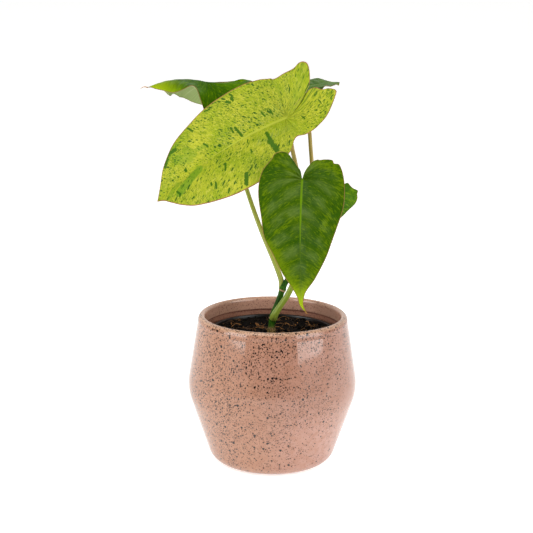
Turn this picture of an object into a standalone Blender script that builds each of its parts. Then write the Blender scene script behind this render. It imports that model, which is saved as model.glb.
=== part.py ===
"""A young philodendron with five heart-shaped leaves, in a black growing pot that
stands inside a speckled, glazed ceramic cover pot.

Metres, +Z up. The origin is the middle of the cover pot's flat base. The plant is
seen from -Y, with +X to the right.
"""

import math

import bmesh
import bpy
import numpy as np
from mathutils import Vector

# Driving dimensions
MM = 0.001
CLEARANCE = 0.3 * MM

COVER_HEIGHT = 140 * MM
COVER_RIM_RADIUS = 68.5 * MM
COVER_BELLY_RADIUS = 79.5 * MM
COVER_BELLY_HEIGHT = 71 * MM
COVER_FOOT_RADIUS = 55 * MM
COVER_BELLY_ROUNDING = 47 * MM
COVER_FOOT_ROUNDING = 17 * MM
COVER_WALL = 6 * MM
COVER_SLANTED_WALL = 6.2 * MM
COVER_INNER_BELLY_ROUNDING = 42 * MM
COVER_INNER_FOOT_ROUNDING = 12 * MM
COVER_FLOOR = 8 * MM
LIP_TOP_RADIUS = 65.3 * MM
LIP_OUTER_DROP = 6 * MM
LIP_INNER_DROP = 3.2 * MM
MOUTH_RADIUS = 62.7 * MM
COLLAR_DEPTH = 11.5 * MM
COLLAR_STEP = 1.6 * MM
COVER_SIDES = 56

GROWING_POT_TOP = 124.5 * MM
GROWING_POT_MOUTH = 57.5 * MM
GROWING_POT_FOOT = 43 * MM
GROWING_POT_WALL = 1.2 * MM
GROWING_POT_BASE = 1.6 * MM
GROWING_RIM_RADIUS = 60 * MM
GROWING_RIM_SKIRT = 6 * MM
GROWING_POT_SIDES = 48
DRAIN_HOLES = 6
DRAIN_HOLE_RADIUS = 4 * MM
DRAIN_RING_RADIUS = 31 * MM

SOIL_LEVEL = 118.8 * MM
SOIL_MOUND = 1.6 * MM
SOIL_CRUMB = 0.7 * MM
STEM_HOLE_RADIUS = 4.1 * MM
STEM_HOLE_FLOOR = 84 * MM

BLADE_THICKNESS = 0.7 * MM
LOBE_LIFT_REACH = 10 * MM
STEM_SIDES = 10
PETIOLE_SIDES = 8

# The half outline of a heart leaf: along as a share of the length ahead of the
# stalk and of the lobe behind it, across as a share of the half width
HEART_HALF = [
    (-0.16, 0.03), (-0.53, 0.15), (-0.84, 0.35), (-1.0, 0.55), (-0.9, 0.75),
    (-0.42, 0.93), (0.05, 1.0), (0.2, 0.97), (0.35, 0.88), (0.5, 0.75), (0.63, 0.58),
    (0.76, 0.38), (0.87, 0.19), (0.94, 0.07),
]

# Each leaf: where the stalk meets the blade, which way the midrib heads, its pitch
# above level and its roll (degrees), the size of the blade, and how it bends. A side
# leaves the midrib at its rise angle and curls down by its curl, in radians a metre.
LEAVES = {
    "large_variegated_leaf": dict(
        base=(10.1, 8.0, 321.0), heading=180, pitch=-22.3, roll=-38.4, length=137,
        droop=1.4, droop_end=0, sweep=2.7, lobe_lift=44,
        left=dict(rise=0.5, curl=5.2, outline=[
            (-9, -10), (-22, -6), (-33.5, -4), (-43.5, 3), (-50.5, 14), (-58.5, 22), (-64.5, 31.5),
            (-60.5, 34.5), (-51.5, 36.5), (-41.5, 37.5), (-26, 34.5), (-12, 29.5), (-5, 25.5),
            (-1, 27), (3, 33.5), (8, 38.5), (24, 47.5), (41.5, 51.5), (54.5, 51.5), (69.5, 49.5), (87, 43.5),
            (103, 35.5), (115, 25), (124, 14), (130, 6)]),
        right=dict(rise=25, curl=3.8, outline=[
            (-6, 5), (-18, 5), (-33.5, 4), (-41.5, 6), (-48.5, 12), (-51.5, 18), (-49.5, 23),
            (-44.5, 27), (-35.5, 29.5), (-21, 36.5), (1, 42.5), (13, 46.5), (30.5, 48.5), (50.5, 47.5),
            (67.5, 45.5), (93, 38.5), (107, 32.5), (120, 22), (128, 11)]),
    ),
    "front_green_leaf": dict(
        base=(24.8, -33.0, 272.5), heading=-99, pitch=-72.6, roll=-2.2, length=117,
        droop=1.5, droop_end=0, sweep=0.7, lobe_lift=7,
        left=dict(rise=13, curl=6, outline=[
            (-3, 1), (-7, 2), (-12, 5), (-16, 9), (-19, 14), (-19, 20), (-18, 26),
            (-15, 30.5), (-12, 35), (-5, 37), (8, 40), (17, 40), (26, 39), (33, 36),
            (57, 28), (70, 23), (87, 14), (99, 5), (106, 2)]),
        right=dict(rise=14, curl=6, outline=[
            (-4, 1), (-8, 2), (-13, 6), (-17, 9), (-22, 13), (-24, 18), (-22, 25),
            (-17, 28), (-9, 34), (-2, 37), (8, 38.5), (19, 38), (36, 35), (53, 32),
            (68, 24), (84, 16), (96, 8), (106, 2)]),
    ),
    "back_left_leaf": dict(
        base=(-65.2, 74.5, 345.0), heading=-160, pitch=15, roll=1.8, length=59,
        droop=10.6, droop_end=11.9, sweep=0, lobe_lift=32,
        left=dict(rise=-9, curl=19.8, half_width=46.7, lobe=37.5, wave=(-17.5, 103, -4.2)),
        right=dict(rise=-13.7, curl=20, half_width=40.7, lobe=37.5, wave=(4.4, 103, 0.43)),
    ),
    "back_right_leaf": dict(
        base=(24.4, 56.5, 341.3), heading=53, pitch=8.5, roll=1.3, length=61,
        droop=5.2, droop_end=4.6, sweep=0, lobe_lift=8,
        left=dict(rise=14, curl=12, half_width=33, lobe=30, wave=(2.2, 74, 1.7)),
        right=dict(rise=12, curl=6.6, half_width=28.5, lobe=30, wave=(5.2, 74, 1.55)),
    ),
    "small_right_leaf": dict(
        base=(50.4, 12.2, 252.6), heading=-72, pitch=-75.4, roll=-1.1, length=33,
        droop=3.1, droop_end=4, sweep=0, lobe_lift=17,
        left=dict(rise=11.6, curl=4.6, half_width=26.6, lobe=8.5, wave=(2.8, 91, 1.4)),
        right=dict(rise=8, curl=8, half_width=24, lobe=8.5, wave=(1.5, 91, 1.0)),
    ),
}
MARGIN_POINTS = 400
VEIN_LEAN = 0.1
LOBE_ROWS = 17
AHEAD_ROWS = 15
COLUMNS = 5

# The stem's middle line from the soil up, and its radius there, in millimetres: it
# thickens at each joint
STEM_LINE = [
    (-1.6, 2.0, 86, 3.4), (-1.6, 2.0, 112, 3.5), (-1.5, 2.0, 119.5, 3.5),
    (-1.3, 2.2, 124, 3.3), (-0.9, 2.6, 130, 3.1), (0.1, 3.4, 136, 3.5),
    (2.0, 4.4, 143, 2.9), (5.4, 5.2, 152, 2.7), (7.8, 6.2, 159.4, 2.8),
    (8.8, 6.6, 162, 3.3), (10.2, 7.4, 165.5, 2.6), (14.0, 8.6, 172, 2.4),
    (18.6, 10.2, 179.6, 2.9), (21.6, 11.6, 185.5, 2.3), (24.6, 13.0, 191.5, 2.8),
    (27.0, 14.2, 196.5, 2.2), (29.4, 15.4, 202, 1.8),
]

# Each stalk's middle line from the stem to just under its blade, and its radius at
# the foot, the middle and the top, in millimetres
PETIOLES = {
    "front_green_leaf": dict(
        radius=(3.7, 2.9, 2.3),
        line=[(0.6, 1.4, 135.4), (1.6, -1.9, 139.5), (5.9, -3.2, 147.2), (10.0, -4.2, 153.7),
              (13.6, -5.6, 160.0), (17.6, -8.4, 170), (21.6, -13.4, 188),
              (23.8, -19.4, 212), (25.0, -24.2, 238), (25.6, -26.4, 257)]),
    "back_left_leaf": dict(
        radius=(2.9, 2.5, 2.0),
        line=[(8.0, 7.2, 160.5), (7.2, 12.4, 170), (0.1, 19.0, 187.2), (-8.7, 27.0, 206.1),
              (-17.5, 36.0, 227), (-25.1, 45.0, 246.9), (-36.4, 55.6, 279),
              (-50.0, 66.0, 315)]),
    "small_right_leaf": dict(
        radius=(2.6, 2.1, 1.7),
        line=[(19.0, 10.4, 180.4), (24.2, 7.4, 185), (33.6, 9.6, 196), (42.0, 15.4, 215),
              (47.6, 19.4, 234), (50.0, 20.2, 246)]),
    "large_variegated_leaf": dict(
        radius=(2.6, 2.2, 2.0),
        line=[(24.8, 13.2, 192), (24.4, 9.4, 199), (25.2, 9.6, 214), (25.2, 10.4, 236),
              (22.6, 11.4, 262), (18.9, 12.0, 280.7), (16.3, 12.4, 291.9),
              (13.8, 13.0, 305)]),
    "back_right_leaf": dict(
        radius=(2.2, 2.0, 1.7),
        line=[(29.7, 15.6, 202.8), (31.9, 17.2, 213), (34.6, 19.6, 234), (35.4, 22.6, 258),
              (34.5, 26.0, 276.7), (33.5, 30.0, 288.5), (32.2, 36.0, 304.3),
              (29.8, 43.6, 321)]),
}
PETIOLE_STEPS = 13
TIP_APPROACH = 6 * MM

COLOURS = {
    "glaze": ((0.60, 0.38, 0.28), 0.22),
    "black_plastic": ((0.012, 0.013, 0.014), 0.45),
    "potting_soil": ((0.018, 0.012, 0.008), 0.95),
    "stem_skin": ((0.06, 0.16, 0.03), 0.45),
    "large_leaf_skin": ((0.45, 0.52, 0.05), 0.42),
    "front_leaf_skin": ((0.05, 0.18, 0.01), 0.38),
    "back_leaf_skin": ((0.05, 0.19, 0.005), 0.40),
    "brown_petiole_skin": ((0.34, 0.20, 0.09), 0.45),
    "green_petiole_skin": ((0.27, 0.36, 0.06), 0.45),
}


def clear_scene():
    for old in list(bpy.data.objects):
        bpy.data.objects.remove(old, do_unlink=True)


def skin(name):
    """A plain surface of one colour and roughness."""
    colour, roughness = COLOURS[name]
    material = bpy.data.materials.new(name)
    material.use_nodes = True
    shader = material.node_tree.nodes["Principled BSDF"]
    shader.inputs["Base Color"].default_value = (*colour, 1.0)
    shader.inputs["Roughness"].default_value = roughness
    return material


def mesh_object(name, points, faces, material):
    mesh = bpy.data.meshes.new(name)
    mesh.from_pydata([tuple(map(float, p)) for p in points], [], faces)
    mesh.validate()
    made = bpy.data.objects.new(name, mesh)
    bpy.context.scene.collection.objects.link(made)
    mesh.shade_smooth()
    if material is not None:
        mesh.materials.append(material)
    return made


def cut(made, cutter):
    """Takes the cutter's solid out of the object, and leaves the cutter hidden."""
    cutter.hide_render = True
    cutter.display_type = "WIRE"
    modifier = made.modifiers.new("cut", "BOOLEAN")
    modifier.operation = "DIFFERENCE"
    modifier.solver = "EXACT"
    modifier.object = cutter


def smooth_line(points, count):
    """A curve through the points (Catmull-Rom), as count points evenly along it."""
    points = np.array(points, float)
    ends = np.vstack([2 * points[0] - points[1], points, 2 * points[-1] - points[-2]])
    share = np.linspace(0, 1, 12, endpoint=False)[:, None]
    pieces = []
    for a, b, c, d in zip(ends[:-3], ends[1:-2], ends[2:-1], ends[3:]):
        pieces.append(0.5 * (2 * b + (c - a) * share + (2 * a - 5 * b + 4 * c - d) * share**2
                             + (3 * b - a - 3 * c + d) * share**3))
    dense = np.vstack([*pieces, points[-1:]])
    travelled = np.concatenate([[0], np.cumsum(np.linalg.norm(np.diff(dense, axis=0), axis=1))])
    wanted = np.linspace(0, travelled[-1], count)
    return np.stack([np.interp(wanted, travelled, dense[:, i]) for i in range(dense.shape[1])], 1)


def rounded_corner(before, corner, after, radius, steps):
    """The arc of this radius that rounds a profile's corner, as points."""
    into = (Vector(before) - Vector(corner)).normalized()
    out_of = (Vector(after) - Vector(corner)).normalized()
    half = into.angle(out_of) / 2
    centre = Vector(corner) + (into + out_of).normalized() * radius / math.sin(half)
    start = (Vector(corner) + into * radius / math.tan(half) - centre).normalized()
    end = (Vector(corner) + out_of * radius / math.tan(half) - centre).normalized()
    return [tuple(centre + radius * start.slerp(end, i / steps)) for i in range(steps + 1)]


def turned(name, profile, sides, material):
    """A solid of revolution: a Screw modifier turns the (radius, height) profile."""
    points = [(radius, 0, height) for radius, height in profile]
    edges = [(i, i + 1) for i in range(len(points) - 1)]
    mesh = bpy.data.meshes.new(name)
    mesh.from_pydata(points, edges, [])
    made = bpy.data.objects.new(name, mesh)
    bpy.context.scene.collection.objects.link(made)
    turn = made.modifiers.new("turn", "SCREW")
    turn.steps = sides
    turn.render_steps = sides
    turn.use_merge_vertices = True
    turn.merge_threshold = 1e-6
    turn.use_smooth_shade = True
    if material is not None:
        mesh.materials.append(material)
    return made


def cover_pot():
    """The glazed pot: straight sides meet at a soft belly, and a thick collar rings
    the mouth. Its profile runs from the inside floor up, over the lip and down."""
    rim = (COVER_RIM_RADIUS, COVER_HEIGHT)
    belly = (COVER_BELLY_RADIUS, COVER_BELLY_HEIGHT)
    foot = (COVER_FOOT_RADIUS, 0)
    rise = COVER_HEIGHT - COVER_BELLY_HEIGHT
    lean = (COVER_BELLY_RADIUS - COVER_RIM_RADIUS) / rise
    flare = (COVER_BELLY_RADIUS - COVER_FOOT_RADIUS) / COVER_BELLY_HEIGHT
    collar_foot = COVER_HEIGHT - COLLAR_DEPTH
    wall_top = (MOUTH_RADIUS + COLLAR_STEP, collar_foot - COLLAR_STEP)
    inner_belly = (COVER_BELLY_RADIUS - COVER_WALL, COVER_BELLY_HEIGHT)
    inner_foot = (COVER_FOOT_RADIUS + flare * COVER_FLOOR - COVER_SLANTED_WALL, COVER_FLOOR)
    inside = [(0, COVER_FLOOR)]
    inside += rounded_corner((0, COVER_FLOOR), inner_foot, inner_belly,
                             COVER_INNER_FOOT_ROUNDING, 4)
    inside += rounded_corner(inner_foot, inner_belly, wall_top,
                             COVER_INNER_BELLY_ROUNDING, 7)
    inside += [wall_top, (MOUTH_RADIUS + 0.4 * COLLAR_STEP, collar_foot - 0.3 * COLLAR_STEP),
               (MOUTH_RADIUS, collar_foot + COLLAR_STEP)]
    quarter = np.linspace(0, math.pi / 2, 5)
    inner_lip = [(LIP_TOP_RADIUS - (LIP_TOP_RADIUS - MOUTH_RADIUS) * math.cos(a),
                  COVER_HEIGHT - LIP_INNER_DROP * (1 - math.sin(a))) for a in quarter]
    lip_foot_radius = COVER_RIM_RADIUS + lean * LIP_OUTER_DROP
    outer_lip = [(LIP_TOP_RADIUS + (lip_foot_radius - LIP_TOP_RADIUS) * math.sin(a),
                  COVER_HEIGHT - LIP_OUTER_DROP * (1 - math.cos(a))) for a in quarter[1:]]
    outside = rounded_corner(rim, belly, foot, COVER_BELLY_ROUNDING, 8)
    outside += rounded_corner(belly, foot, (0, 0), COVER_FOOT_ROUNDING, 5)
    return turned("cover_pot", inside + inner_lip + outer_lip + outside + [(0, 0)],
                  COVER_SIDES, skin("glaze"))


def growing_pot_radius(height):
    """The outer radius of the growing pot's tapered wall at a height."""
    base = COVER_FLOOR + CLEARANCE
    share = (height - base) / (GROWING_POT_TOP - base)
    return GROWING_POT_FOOT + (GROWING_POT_MOUTH - GROWING_POT_FOOT) * share


def growing_pot():
    """The black plastic pot: a thin tapered wall, a turned-over rim and drain holes."""
    base = COVER_FLOOR + CLEARANCE
    floor = base + GROWING_POT_BASE
    skirt = GROWING_POT_TOP - GROWING_RIM_SKIRT
    profile = [
        (0, floor),
        (growing_pot_radius(floor) - GROWING_POT_WALL, floor),
        (GROWING_POT_MOUTH - GROWING_POT_WALL, GROWING_POT_TOP - 0.6 * MM),
        (GROWING_POT_MOUTH - 0.4 * MM, GROWING_POT_TOP),
        (GROWING_RIM_RADIUS - 0.7 * MM, GROWING_POT_TOP),
        (GROWING_RIM_RADIUS, GROWING_POT_TOP - 0.8 * MM),
        (GROWING_RIM_RADIUS, skirt),
        (GROWING_RIM_RADIUS - GROWING_POT_WALL, skirt),
        (GROWING_RIM_RADIUS - GROWING_POT_WALL, GROWING_POT_TOP - GROWING_POT_WALL * 1.4),
        (growing_pot_radius(GROWING_POT_TOP - GROWING_POT_WALL * 1.4),
         GROWING_POT_TOP - GROWING_POT_WALL * 1.4),
        (growing_pot_radius(base + 2 * MM), base + 2 * MM),
        (GROWING_POT_FOOT - 1.5 * MM, base),
        (0, base),
    ]
    pot = turned("growing_pot", profile, GROWING_POT_SIDES, skin("black_plastic"))
    work = bmesh.new()
    for i in range(DRAIN_HOLES):
        turn = 2 * math.pi * i / DRAIN_HOLES
        made = bmesh.ops.create_cone(work, cap_ends=True, segments=14, depth=8 * MM,
                                     radius1=DRAIN_HOLE_RADIUS, radius2=DRAIN_HOLE_RADIUS)
        middle = (DRAIN_RING_RADIUS * math.cos(turn), DRAIN_RING_RADIUS * math.sin(turn), base)
        bmesh.ops.translate(work, verts=made["verts"], vec=middle)
    mesh = bpy.data.meshes.new("drain_hole_cutter")
    work.to_mesh(mesh)
    work.free()
    cutter = bpy.data.objects.new("drain_hole_cutter", mesh)
    bpy.context.scene.collection.objects.link(cutter)
    cut(pot, cutter)
    return pot


def soil_height(x, y):
    """The soil's top: a low mound at the stem, with crumbs as crossed waves."""
    radius = np.hypot(x, y)
    mound = SOIL_MOUND * np.exp(-((radius / 0.03) ** 2))
    crumbs = np.sin(410 * x + 1.3) * np.cos(370 * y) + 0.6 * np.sin(690 * y + 520 * x)
    return SOIL_LEVEL + mound + SOIL_CRUMB * crumbs


def soil():
    """One plug of soil that fills the growing pot, with a plain hole for the stem."""
    floor = COVER_FLOOR + 2 * CLEARANCE + GROWING_POT_BASE
    inner = GROWING_POT_WALL + 1.4 * CLEARANCE
    sides = 40
    angles = np.arange(sides) * 2 * math.pi / sides
    top_radius = growing_pot_radius(SOIL_LEVEL - 3 * MM) - inner
    shares = [1.0, 0.86, 0.72, 0.56, 0.4, 0.24, 0.1]
    rings = [[(r * math.cos(a), r * math.sin(a), z) for a in angles] for r, z in (
        (growing_pot_radius(floor) - inner, floor), (top_radius, SOIL_LEVEL - 3 * MM))]
    for share in shares:
        x = top_radius * share * np.cos(angles)
        y = top_radius * share * np.sin(angles)
        rings.append(np.stack([x, y, soil_height(x, y)], 1))
    points = [p for ring in rings for p in ring] + [(0, 0, floor), (0, 0, SOIL_LEVEL + SOIL_MOUND)]
    faces = []
    for ring in range(len(rings) - 1):
        for i in range(sides):
            a, b = ring * sides + i, ring * sides + (i + 1) % sides
            faces += [(a, b, b + sides), (a, b + sides, a + sides)]
    last = (len(rings) - 1) * sides
    for i in range(sides):
        after = (i + 1) % sides
        faces += [(len(points) - 2, after, i), (len(points) - 1, last + i, last + after)]
    plug = mesh_object("soil", points, faces, skin("potting_soil"))
    x, y = STEM_LINE[0][0] * MM, STEM_LINE[0][1] * MM
    hole = turned("stem_hole_cutter", [(0, SOIL_LEVEL + 12 * MM), (STEM_HOLE_RADIUS, SOIL_LEVEL + 12 * MM),
                                       (STEM_HOLE_RADIUS, STEM_HOLE_FLOOR), (0, STEM_HOLE_FLOOR)],
                  16, None)
    hole.location = (x, y, 0)
    cut(plug, hole)
    return plug


def tube(name, line, radii, sides, material, last_direction=None):
    """Rings of the given radii carried along a line, each square to it, and capped.
    The frame is turned from ring to ring no more than the line itself turns."""
    line = np.asarray(line, float)
    along = np.gradient(line, axis=0)
    along /= np.linalg.norm(along, axis=1)[:, None]
    if last_direction is not None:
        along[-1] = last_direction
    side = Vector((1, 0, 0))
    angles = np.arange(sides) * 2 * math.pi / sides
    points = []
    for middle, direction, radius in zip(line, along, map(float, radii)):
        direction = Vector(direction)
        side = (side - direction * side.dot(direction)).normalized()
        other = direction.cross(side)
        points += [tuple(Vector(middle) + radius * (side * math.cos(a) + other * math.sin(a)))
                   for a in angles]
    faces = [tuple(reversed(range(sides))), tuple(range(len(points) - sides, len(points)))]
    for ring in range(len(line) - 1):
        for i in range(sides):
            a, b = ring * sides + i, ring * sides + (i + 1) % sides
            faces.append((a, b, b + sides, a + sides))
    return mesh_object(name, points, faces, material)


def stem_rings(steps):
    """The stem's middle line and radii on a smooth curve through its joints."""
    dense = smooth_line(np.array(STEM_LINE) * MM, steps)
    return dense[:, :3], dense[:, 3]


def stem():
    line, radii = stem_rings(40)
    return tube("stem", line, radii, STEM_SIDES, skin("stem_skin"))


def stem_clearance():
    """The stem a little fatter, which the stalks' feet are cut by."""
    line, radii = stem_rings(40)
    return tube("stem_clearance_cutter", line, radii + CLEARANCE, STEM_SIDES, None)


def leaf_frame(leaf):
    """The midrib's direction, the left side's and the upper face's, as unit vectors."""
    heading, pitch, roll = (math.radians(leaf[k]) for k in ("heading", "pitch", "roll"))
    forward = np.array([math.cos(heading) * math.cos(pitch),
                        math.sin(heading) * math.cos(pitch), math.sin(pitch)])
    level = np.array([-math.sin(heading), math.cos(heading), 0])
    upright = np.cross(forward, level)
    left = level * math.cos(roll) + upright * math.sin(roll)
    return forward, left, upright * math.cos(roll) - level * math.sin(roll)


def midrib_bend(leaf, along):
    """How far the bent midrib has gone forward and up at each distance along it, and
    its slope there. It droops ahead of the stalk, and behind it the lobes lift."""
    grid = np.linspace(-0.1, 0.2, 301)
    lift = math.radians(leaf["lobe_lift"])
    slope = np.where(grid > 0, -leaf["droop"] * grid - leaf["droop_end"] * grid**2,
                     -lift * (1 - np.exp(np.minimum(grid, 0) / LOBE_LIFT_REACH)))
    step = grid[1] - grid[0]
    forward = np.concatenate([[0], np.cumsum((np.cos(slope[1:]) + np.cos(slope[:-1])) / 2 * step)])
    up = np.concatenate([[0], np.cumsum((np.sin(slope[1:]) + np.sin(slope[:-1])) / 2 * step)])
    forward -= np.interp(0, grid, forward)
    up -= np.interp(0, grid, up)
    return tuple(np.interp(along, grid, values) for values in (forward, up, slope))


def bent(leaf, side, along, across):
    """Takes points of the flat blade to their places: along the bent midrib, then out
    on an arc that leaves it at the side's rise and curls down, then the waves."""
    sign = 1 if side == "left" else -1
    half = leaf[side]
    forward, left, upper = leaf_frame(leaf)
    gone, risen, slope = midrib_bend(leaf, along)
    swept = leaf["sweep"] * along * np.abs(along) / 2
    square = np.cos(slope)[..., None] * upper - np.sin(slope)[..., None] * forward
    rise = math.radians(half["rise"])
    angle = rise - half["curl"] * across
    outward = (math.sin(rise) - np.sin(angle)) / half["curl"]
    height = (np.cos(angle) - math.cos(rise)) / half["curl"]
    amplitude, turns, phase = half.get("wave", (0, 0, 0))
    height = height + amplitude * MM * (across / 0.04) ** 2 * np.sin(turns * along + phase)
    return (np.array(leaf["base"]) * MM + gone[..., None] * forward + risen[..., None] * upper
            + (sign * outward + swept)[..., None] * left + height[..., None] * square)


def half_outline(leaf, side):
    """A half's flat margin from the notch at the stalk, round the lobe, to the tip."""
    half = leaf[side]
    if "outline" in half:
        inner = list(half["outline"])
    else:
        inner = [(a * (leaf["length"] if a > 0 else half["lobe"]), b * half["half_width"])
                 for a, b in HEART_HALF]
    return smooth_line([(0, 0), *inner, (leaf["length"], 0)], MARGIN_POINTS) * MM


def blade_grid(leaf, side):
    """Points of one half, as rows from the midrib out to the margin. The lobe's rows
    all start at the stalk, and the rest start ahead of it, as the veins do."""
    margin = half_outline(leaf, side)
    length = leaf["length"] * MM
    foot = np.clip((margin[:, 0] - VEIN_LEAN * length) / ((1 - VEIN_LEAN) * length), 0, 1) * length
    foot = np.maximum.accumulate(foot)
    lobe_end = int(np.flatnonzero(foot > 0)[0]) - 1
    feet = np.concatenate([np.zeros(LOBE_ROWS), np.linspace(0, length, AHEAD_ROWS)])
    ahead = np.interp(feet[LOBE_ROWS + 1:], foot[lobe_end:], np.arange(lobe_end, len(foot)))
    places = np.concatenate([np.linspace(0, lobe_end, LOBE_ROWS + 1), ahead])
    edge = np.stack([np.interp(places, np.arange(len(foot)), margin[:, i]) for i in (0, 1)], 1)
    share = np.linspace(0, 1, COLUMNS)
    along = feet[:, None] * (1 - share) + edge[:, :1] * share
    return bent(leaf, side, along, edge[:, 1:] * share)


def blade(name, leaf, material):
    """A thin closed blade: both halves as one sheet of triangles, then Solidify, so
    that its two faces are split alike. The halves share the midrib's points, and all
    rows of the lobes share the one at the stalk."""
    grids = {side: blade_grid(leaf, side) for side in ("left", "right")}
    midrib = grids["left"][LOBE_ROWS:, 0]
    points = list(midrib)
    faces = []
    tip = len(midrib) - 1
    for side, grid in grids.items():
        number = np.zeros(grid.shape[:2], int)
        number[LOBE_ROWS:, 0] = np.arange(len(midrib))
        number[-1] = tip
        inner = grid[1:-1, 1:]
        number[1:-1, 1:] = len(points) + np.arange(inner.shape[0] * inner.shape[1]).reshape(inner.shape[:2])
        points += list(inner.reshape(-1, 3))
        for row in range(len(grid) - 1):
            for column in range(COLUMNS - 1):
                a, b = number[row, column:column + 2]
                d, c = number[row + 1, column:column + 2]
                for triangle in ((a, b, c), (a, c, d)):
                    if len(set(triangle)) == 3:
                        faces.append(triangle if side == "right" else triangle[::-1])
    made = mesh_object(name, points, [tuple(map(int, face)) for face in faces], material)
    thicken = made.modifiers.new("thickness", "SOLIDIFY")
    thicken.thickness = BLADE_THICKNESS
    thicken.offset = 0
    thicken.use_even_offset = False
    return made


def petiole(name, leaf_name, material, clearance):
    """A stalk from the stem to its blade. It meets the blade's underside squarely,
    just ahead of the notch, and its foot is cut to clasp the stem."""
    leaf = LEAVES[leaf_name]
    shape = PETIOLES[leaf_name]
    forward, _, upper = leaf_frame(leaf)
    seat = np.array(leaf["base"]) * MM + forward * 1.6 * MM
    roof = max(0.0, -leaf["left"]["rise"], -leaf["right"]["rise"])
    gap = BLADE_THICKNESS / 2 + CLEARANCE + math.tan(math.radians(roof)) * shape["radius"][2] * MM
    end = seat - upper * gap
    line = [*(np.array(shape["line"]) * MM), end - upper * TIP_APPROACH, end]
    path = smooth_line(line, PETIOLE_STEPS)
    share = np.linspace(0, 1, PETIOLE_STEPS)
    radii = np.interp(share, [0, 0.12, 0.5, 1], [shape["radius"][0], shape["radius"][0] * 0.94,
                                                 shape["radius"][1], shape["radius"][2]]) * MM
    made = tube(name, path, radii, PETIOLE_SIDES, material, last_direction=upper)
    cut(made, clearance)
    return made


def main():
    clear_scene()
    cover_pot()
    growing_pot()
    soil()
    stem()
    clearance = stem_clearance()
    leaf_skins = {
        "large_variegated_leaf": skin("large_leaf_skin"),
        "front_green_leaf": skin("front_leaf_skin"),
    }
    back_skin = skin("back_leaf_skin")
    petiole_skins = {
        "front_green_leaf": skin("green_petiole_skin"),
        "back_left_leaf": bpy.data.materials["green_petiole_skin"],
    }
    brown = skin("brown_petiole_skin")
    for name, leaf in LEAVES.items():
        blade(name, leaf, leaf_skins.get(name, back_skin))
        petiole(name.replace("_leaf", "_petiole"), name, petiole_skins.get(name, brown), clearance)


main()
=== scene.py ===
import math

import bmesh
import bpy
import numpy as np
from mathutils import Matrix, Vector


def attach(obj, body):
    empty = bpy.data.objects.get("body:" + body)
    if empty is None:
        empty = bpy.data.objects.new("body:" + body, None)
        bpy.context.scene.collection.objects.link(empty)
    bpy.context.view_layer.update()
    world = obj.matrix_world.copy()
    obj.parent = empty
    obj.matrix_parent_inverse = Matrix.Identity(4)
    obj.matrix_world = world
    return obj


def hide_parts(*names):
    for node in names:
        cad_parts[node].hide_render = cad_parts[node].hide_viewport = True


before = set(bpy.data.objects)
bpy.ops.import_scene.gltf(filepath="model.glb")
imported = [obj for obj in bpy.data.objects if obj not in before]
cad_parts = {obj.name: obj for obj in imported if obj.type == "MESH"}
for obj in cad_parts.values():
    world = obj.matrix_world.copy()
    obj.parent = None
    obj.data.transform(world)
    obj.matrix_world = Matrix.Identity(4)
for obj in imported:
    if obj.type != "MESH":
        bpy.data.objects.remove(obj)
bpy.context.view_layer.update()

# %% [markdown]
# # A potted philodendron
# This lesson dresses a plain model of a young philodendron: five heart-shaped leaves on
# a short stem, in a black growing pot that stands inside a speckled ceramic cover pot.
# The plain model gives each piece its place and size. Everything is in metres, with +Z
# up and the origin in the middle of the cover pot's flat base.

MM = 0.001
print("nodes of the plain model:", ", ".join(sorted(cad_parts)))

# %% [markdown]
# ## From arrays to pieces
# Nearly every surface here is a grid of points worked out with numpy, so one helper
# numbers the grid's squares and another puts points and squares into a mesh. Points
# that fall on each other, as at a pole or a leaf's edge, are merged, which closes the
# piece. Numbers that a finish needs at each point, such as the distance from a leaf's
# edge, go into the mesh as attributes.

# %% Grids and meshes
def grid_squares(rows, columns, start=0, around=False, flip=False):
    """The squares of a grid whose points are numbered row by row from start. Each square
    joins two neighbouring rows and columns, and around also joins the last column to
    the first. Flip turns the faces round."""
    number = start + np.arange(rows * columns).reshape(rows, columns)
    if around:
        number = np.hstack([number, number[:, :1]])
    corners = [number[:-1, :-1], number[:-1, 1:], number[1:, 1:], number[1:, :-1]]
    squares = np.stack(corners, -1).reshape(-1, 4)
    return squares[:, ::-1] if flip else squares


def make_piece(name, points, faces, material, attributes=None, replaces=(), merge=1e-6):
    """A smooth-shaded mesh object of these points and faces (all of one corner count)
    that rides with the plant, after merging points nearer than merge."""
    mesh = bpy.data.meshes.new(name)
    corners = faces.shape[1]
    mesh.vertices.add(len(points))
    mesh.vertices.foreach_set("co", np.ascontiguousarray(points, np.float32).ravel())
    mesh.loops.add(faces.size)
    mesh.loops.foreach_set("vertex_index", np.ascontiguousarray(faces, np.int32).ravel())
    mesh.polygons.add(len(faces))
    mesh.polygons.foreach_set("loop_start", np.arange(0, faces.size, corners, dtype=np.int32))
    mesh.update(calc_edges=True)
    for key, values in (attributes or {}).items():
        layer = mesh.attributes.new(key, "FLOAT", "POINT")
        layer.data.foreach_set("value", np.ascontiguousarray(values, np.float32).ravel())
    if merge:
        merge_points(mesh, merge)
    mesh.shade_smooth()
    piece = bpy.data.objects.new(name, mesh)
    bpy.context.scene.collection.objects.link(piece)
    mesh.materials.append(material)
    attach(piece, "root")
    if replaces:
        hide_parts(*replaces)
    print(f"{name}: {sum(len(p.vertices) - 2 for p in mesh.polygons)} triangles")
    return piece


def merge_points(mesh, distance):
    """Makes points that lie within a distance of each other one point."""
    work = bmesh.new()
    work.from_mesh(mesh)
    bmesh.ops.remove_doubles(work, verts=work.verts, dist=distance)
    bmesh.ops.dissolve_degenerate(work, dist=distance / 10, edges=work.edges)
    work.to_mesh(mesh)
    work.free()


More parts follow.
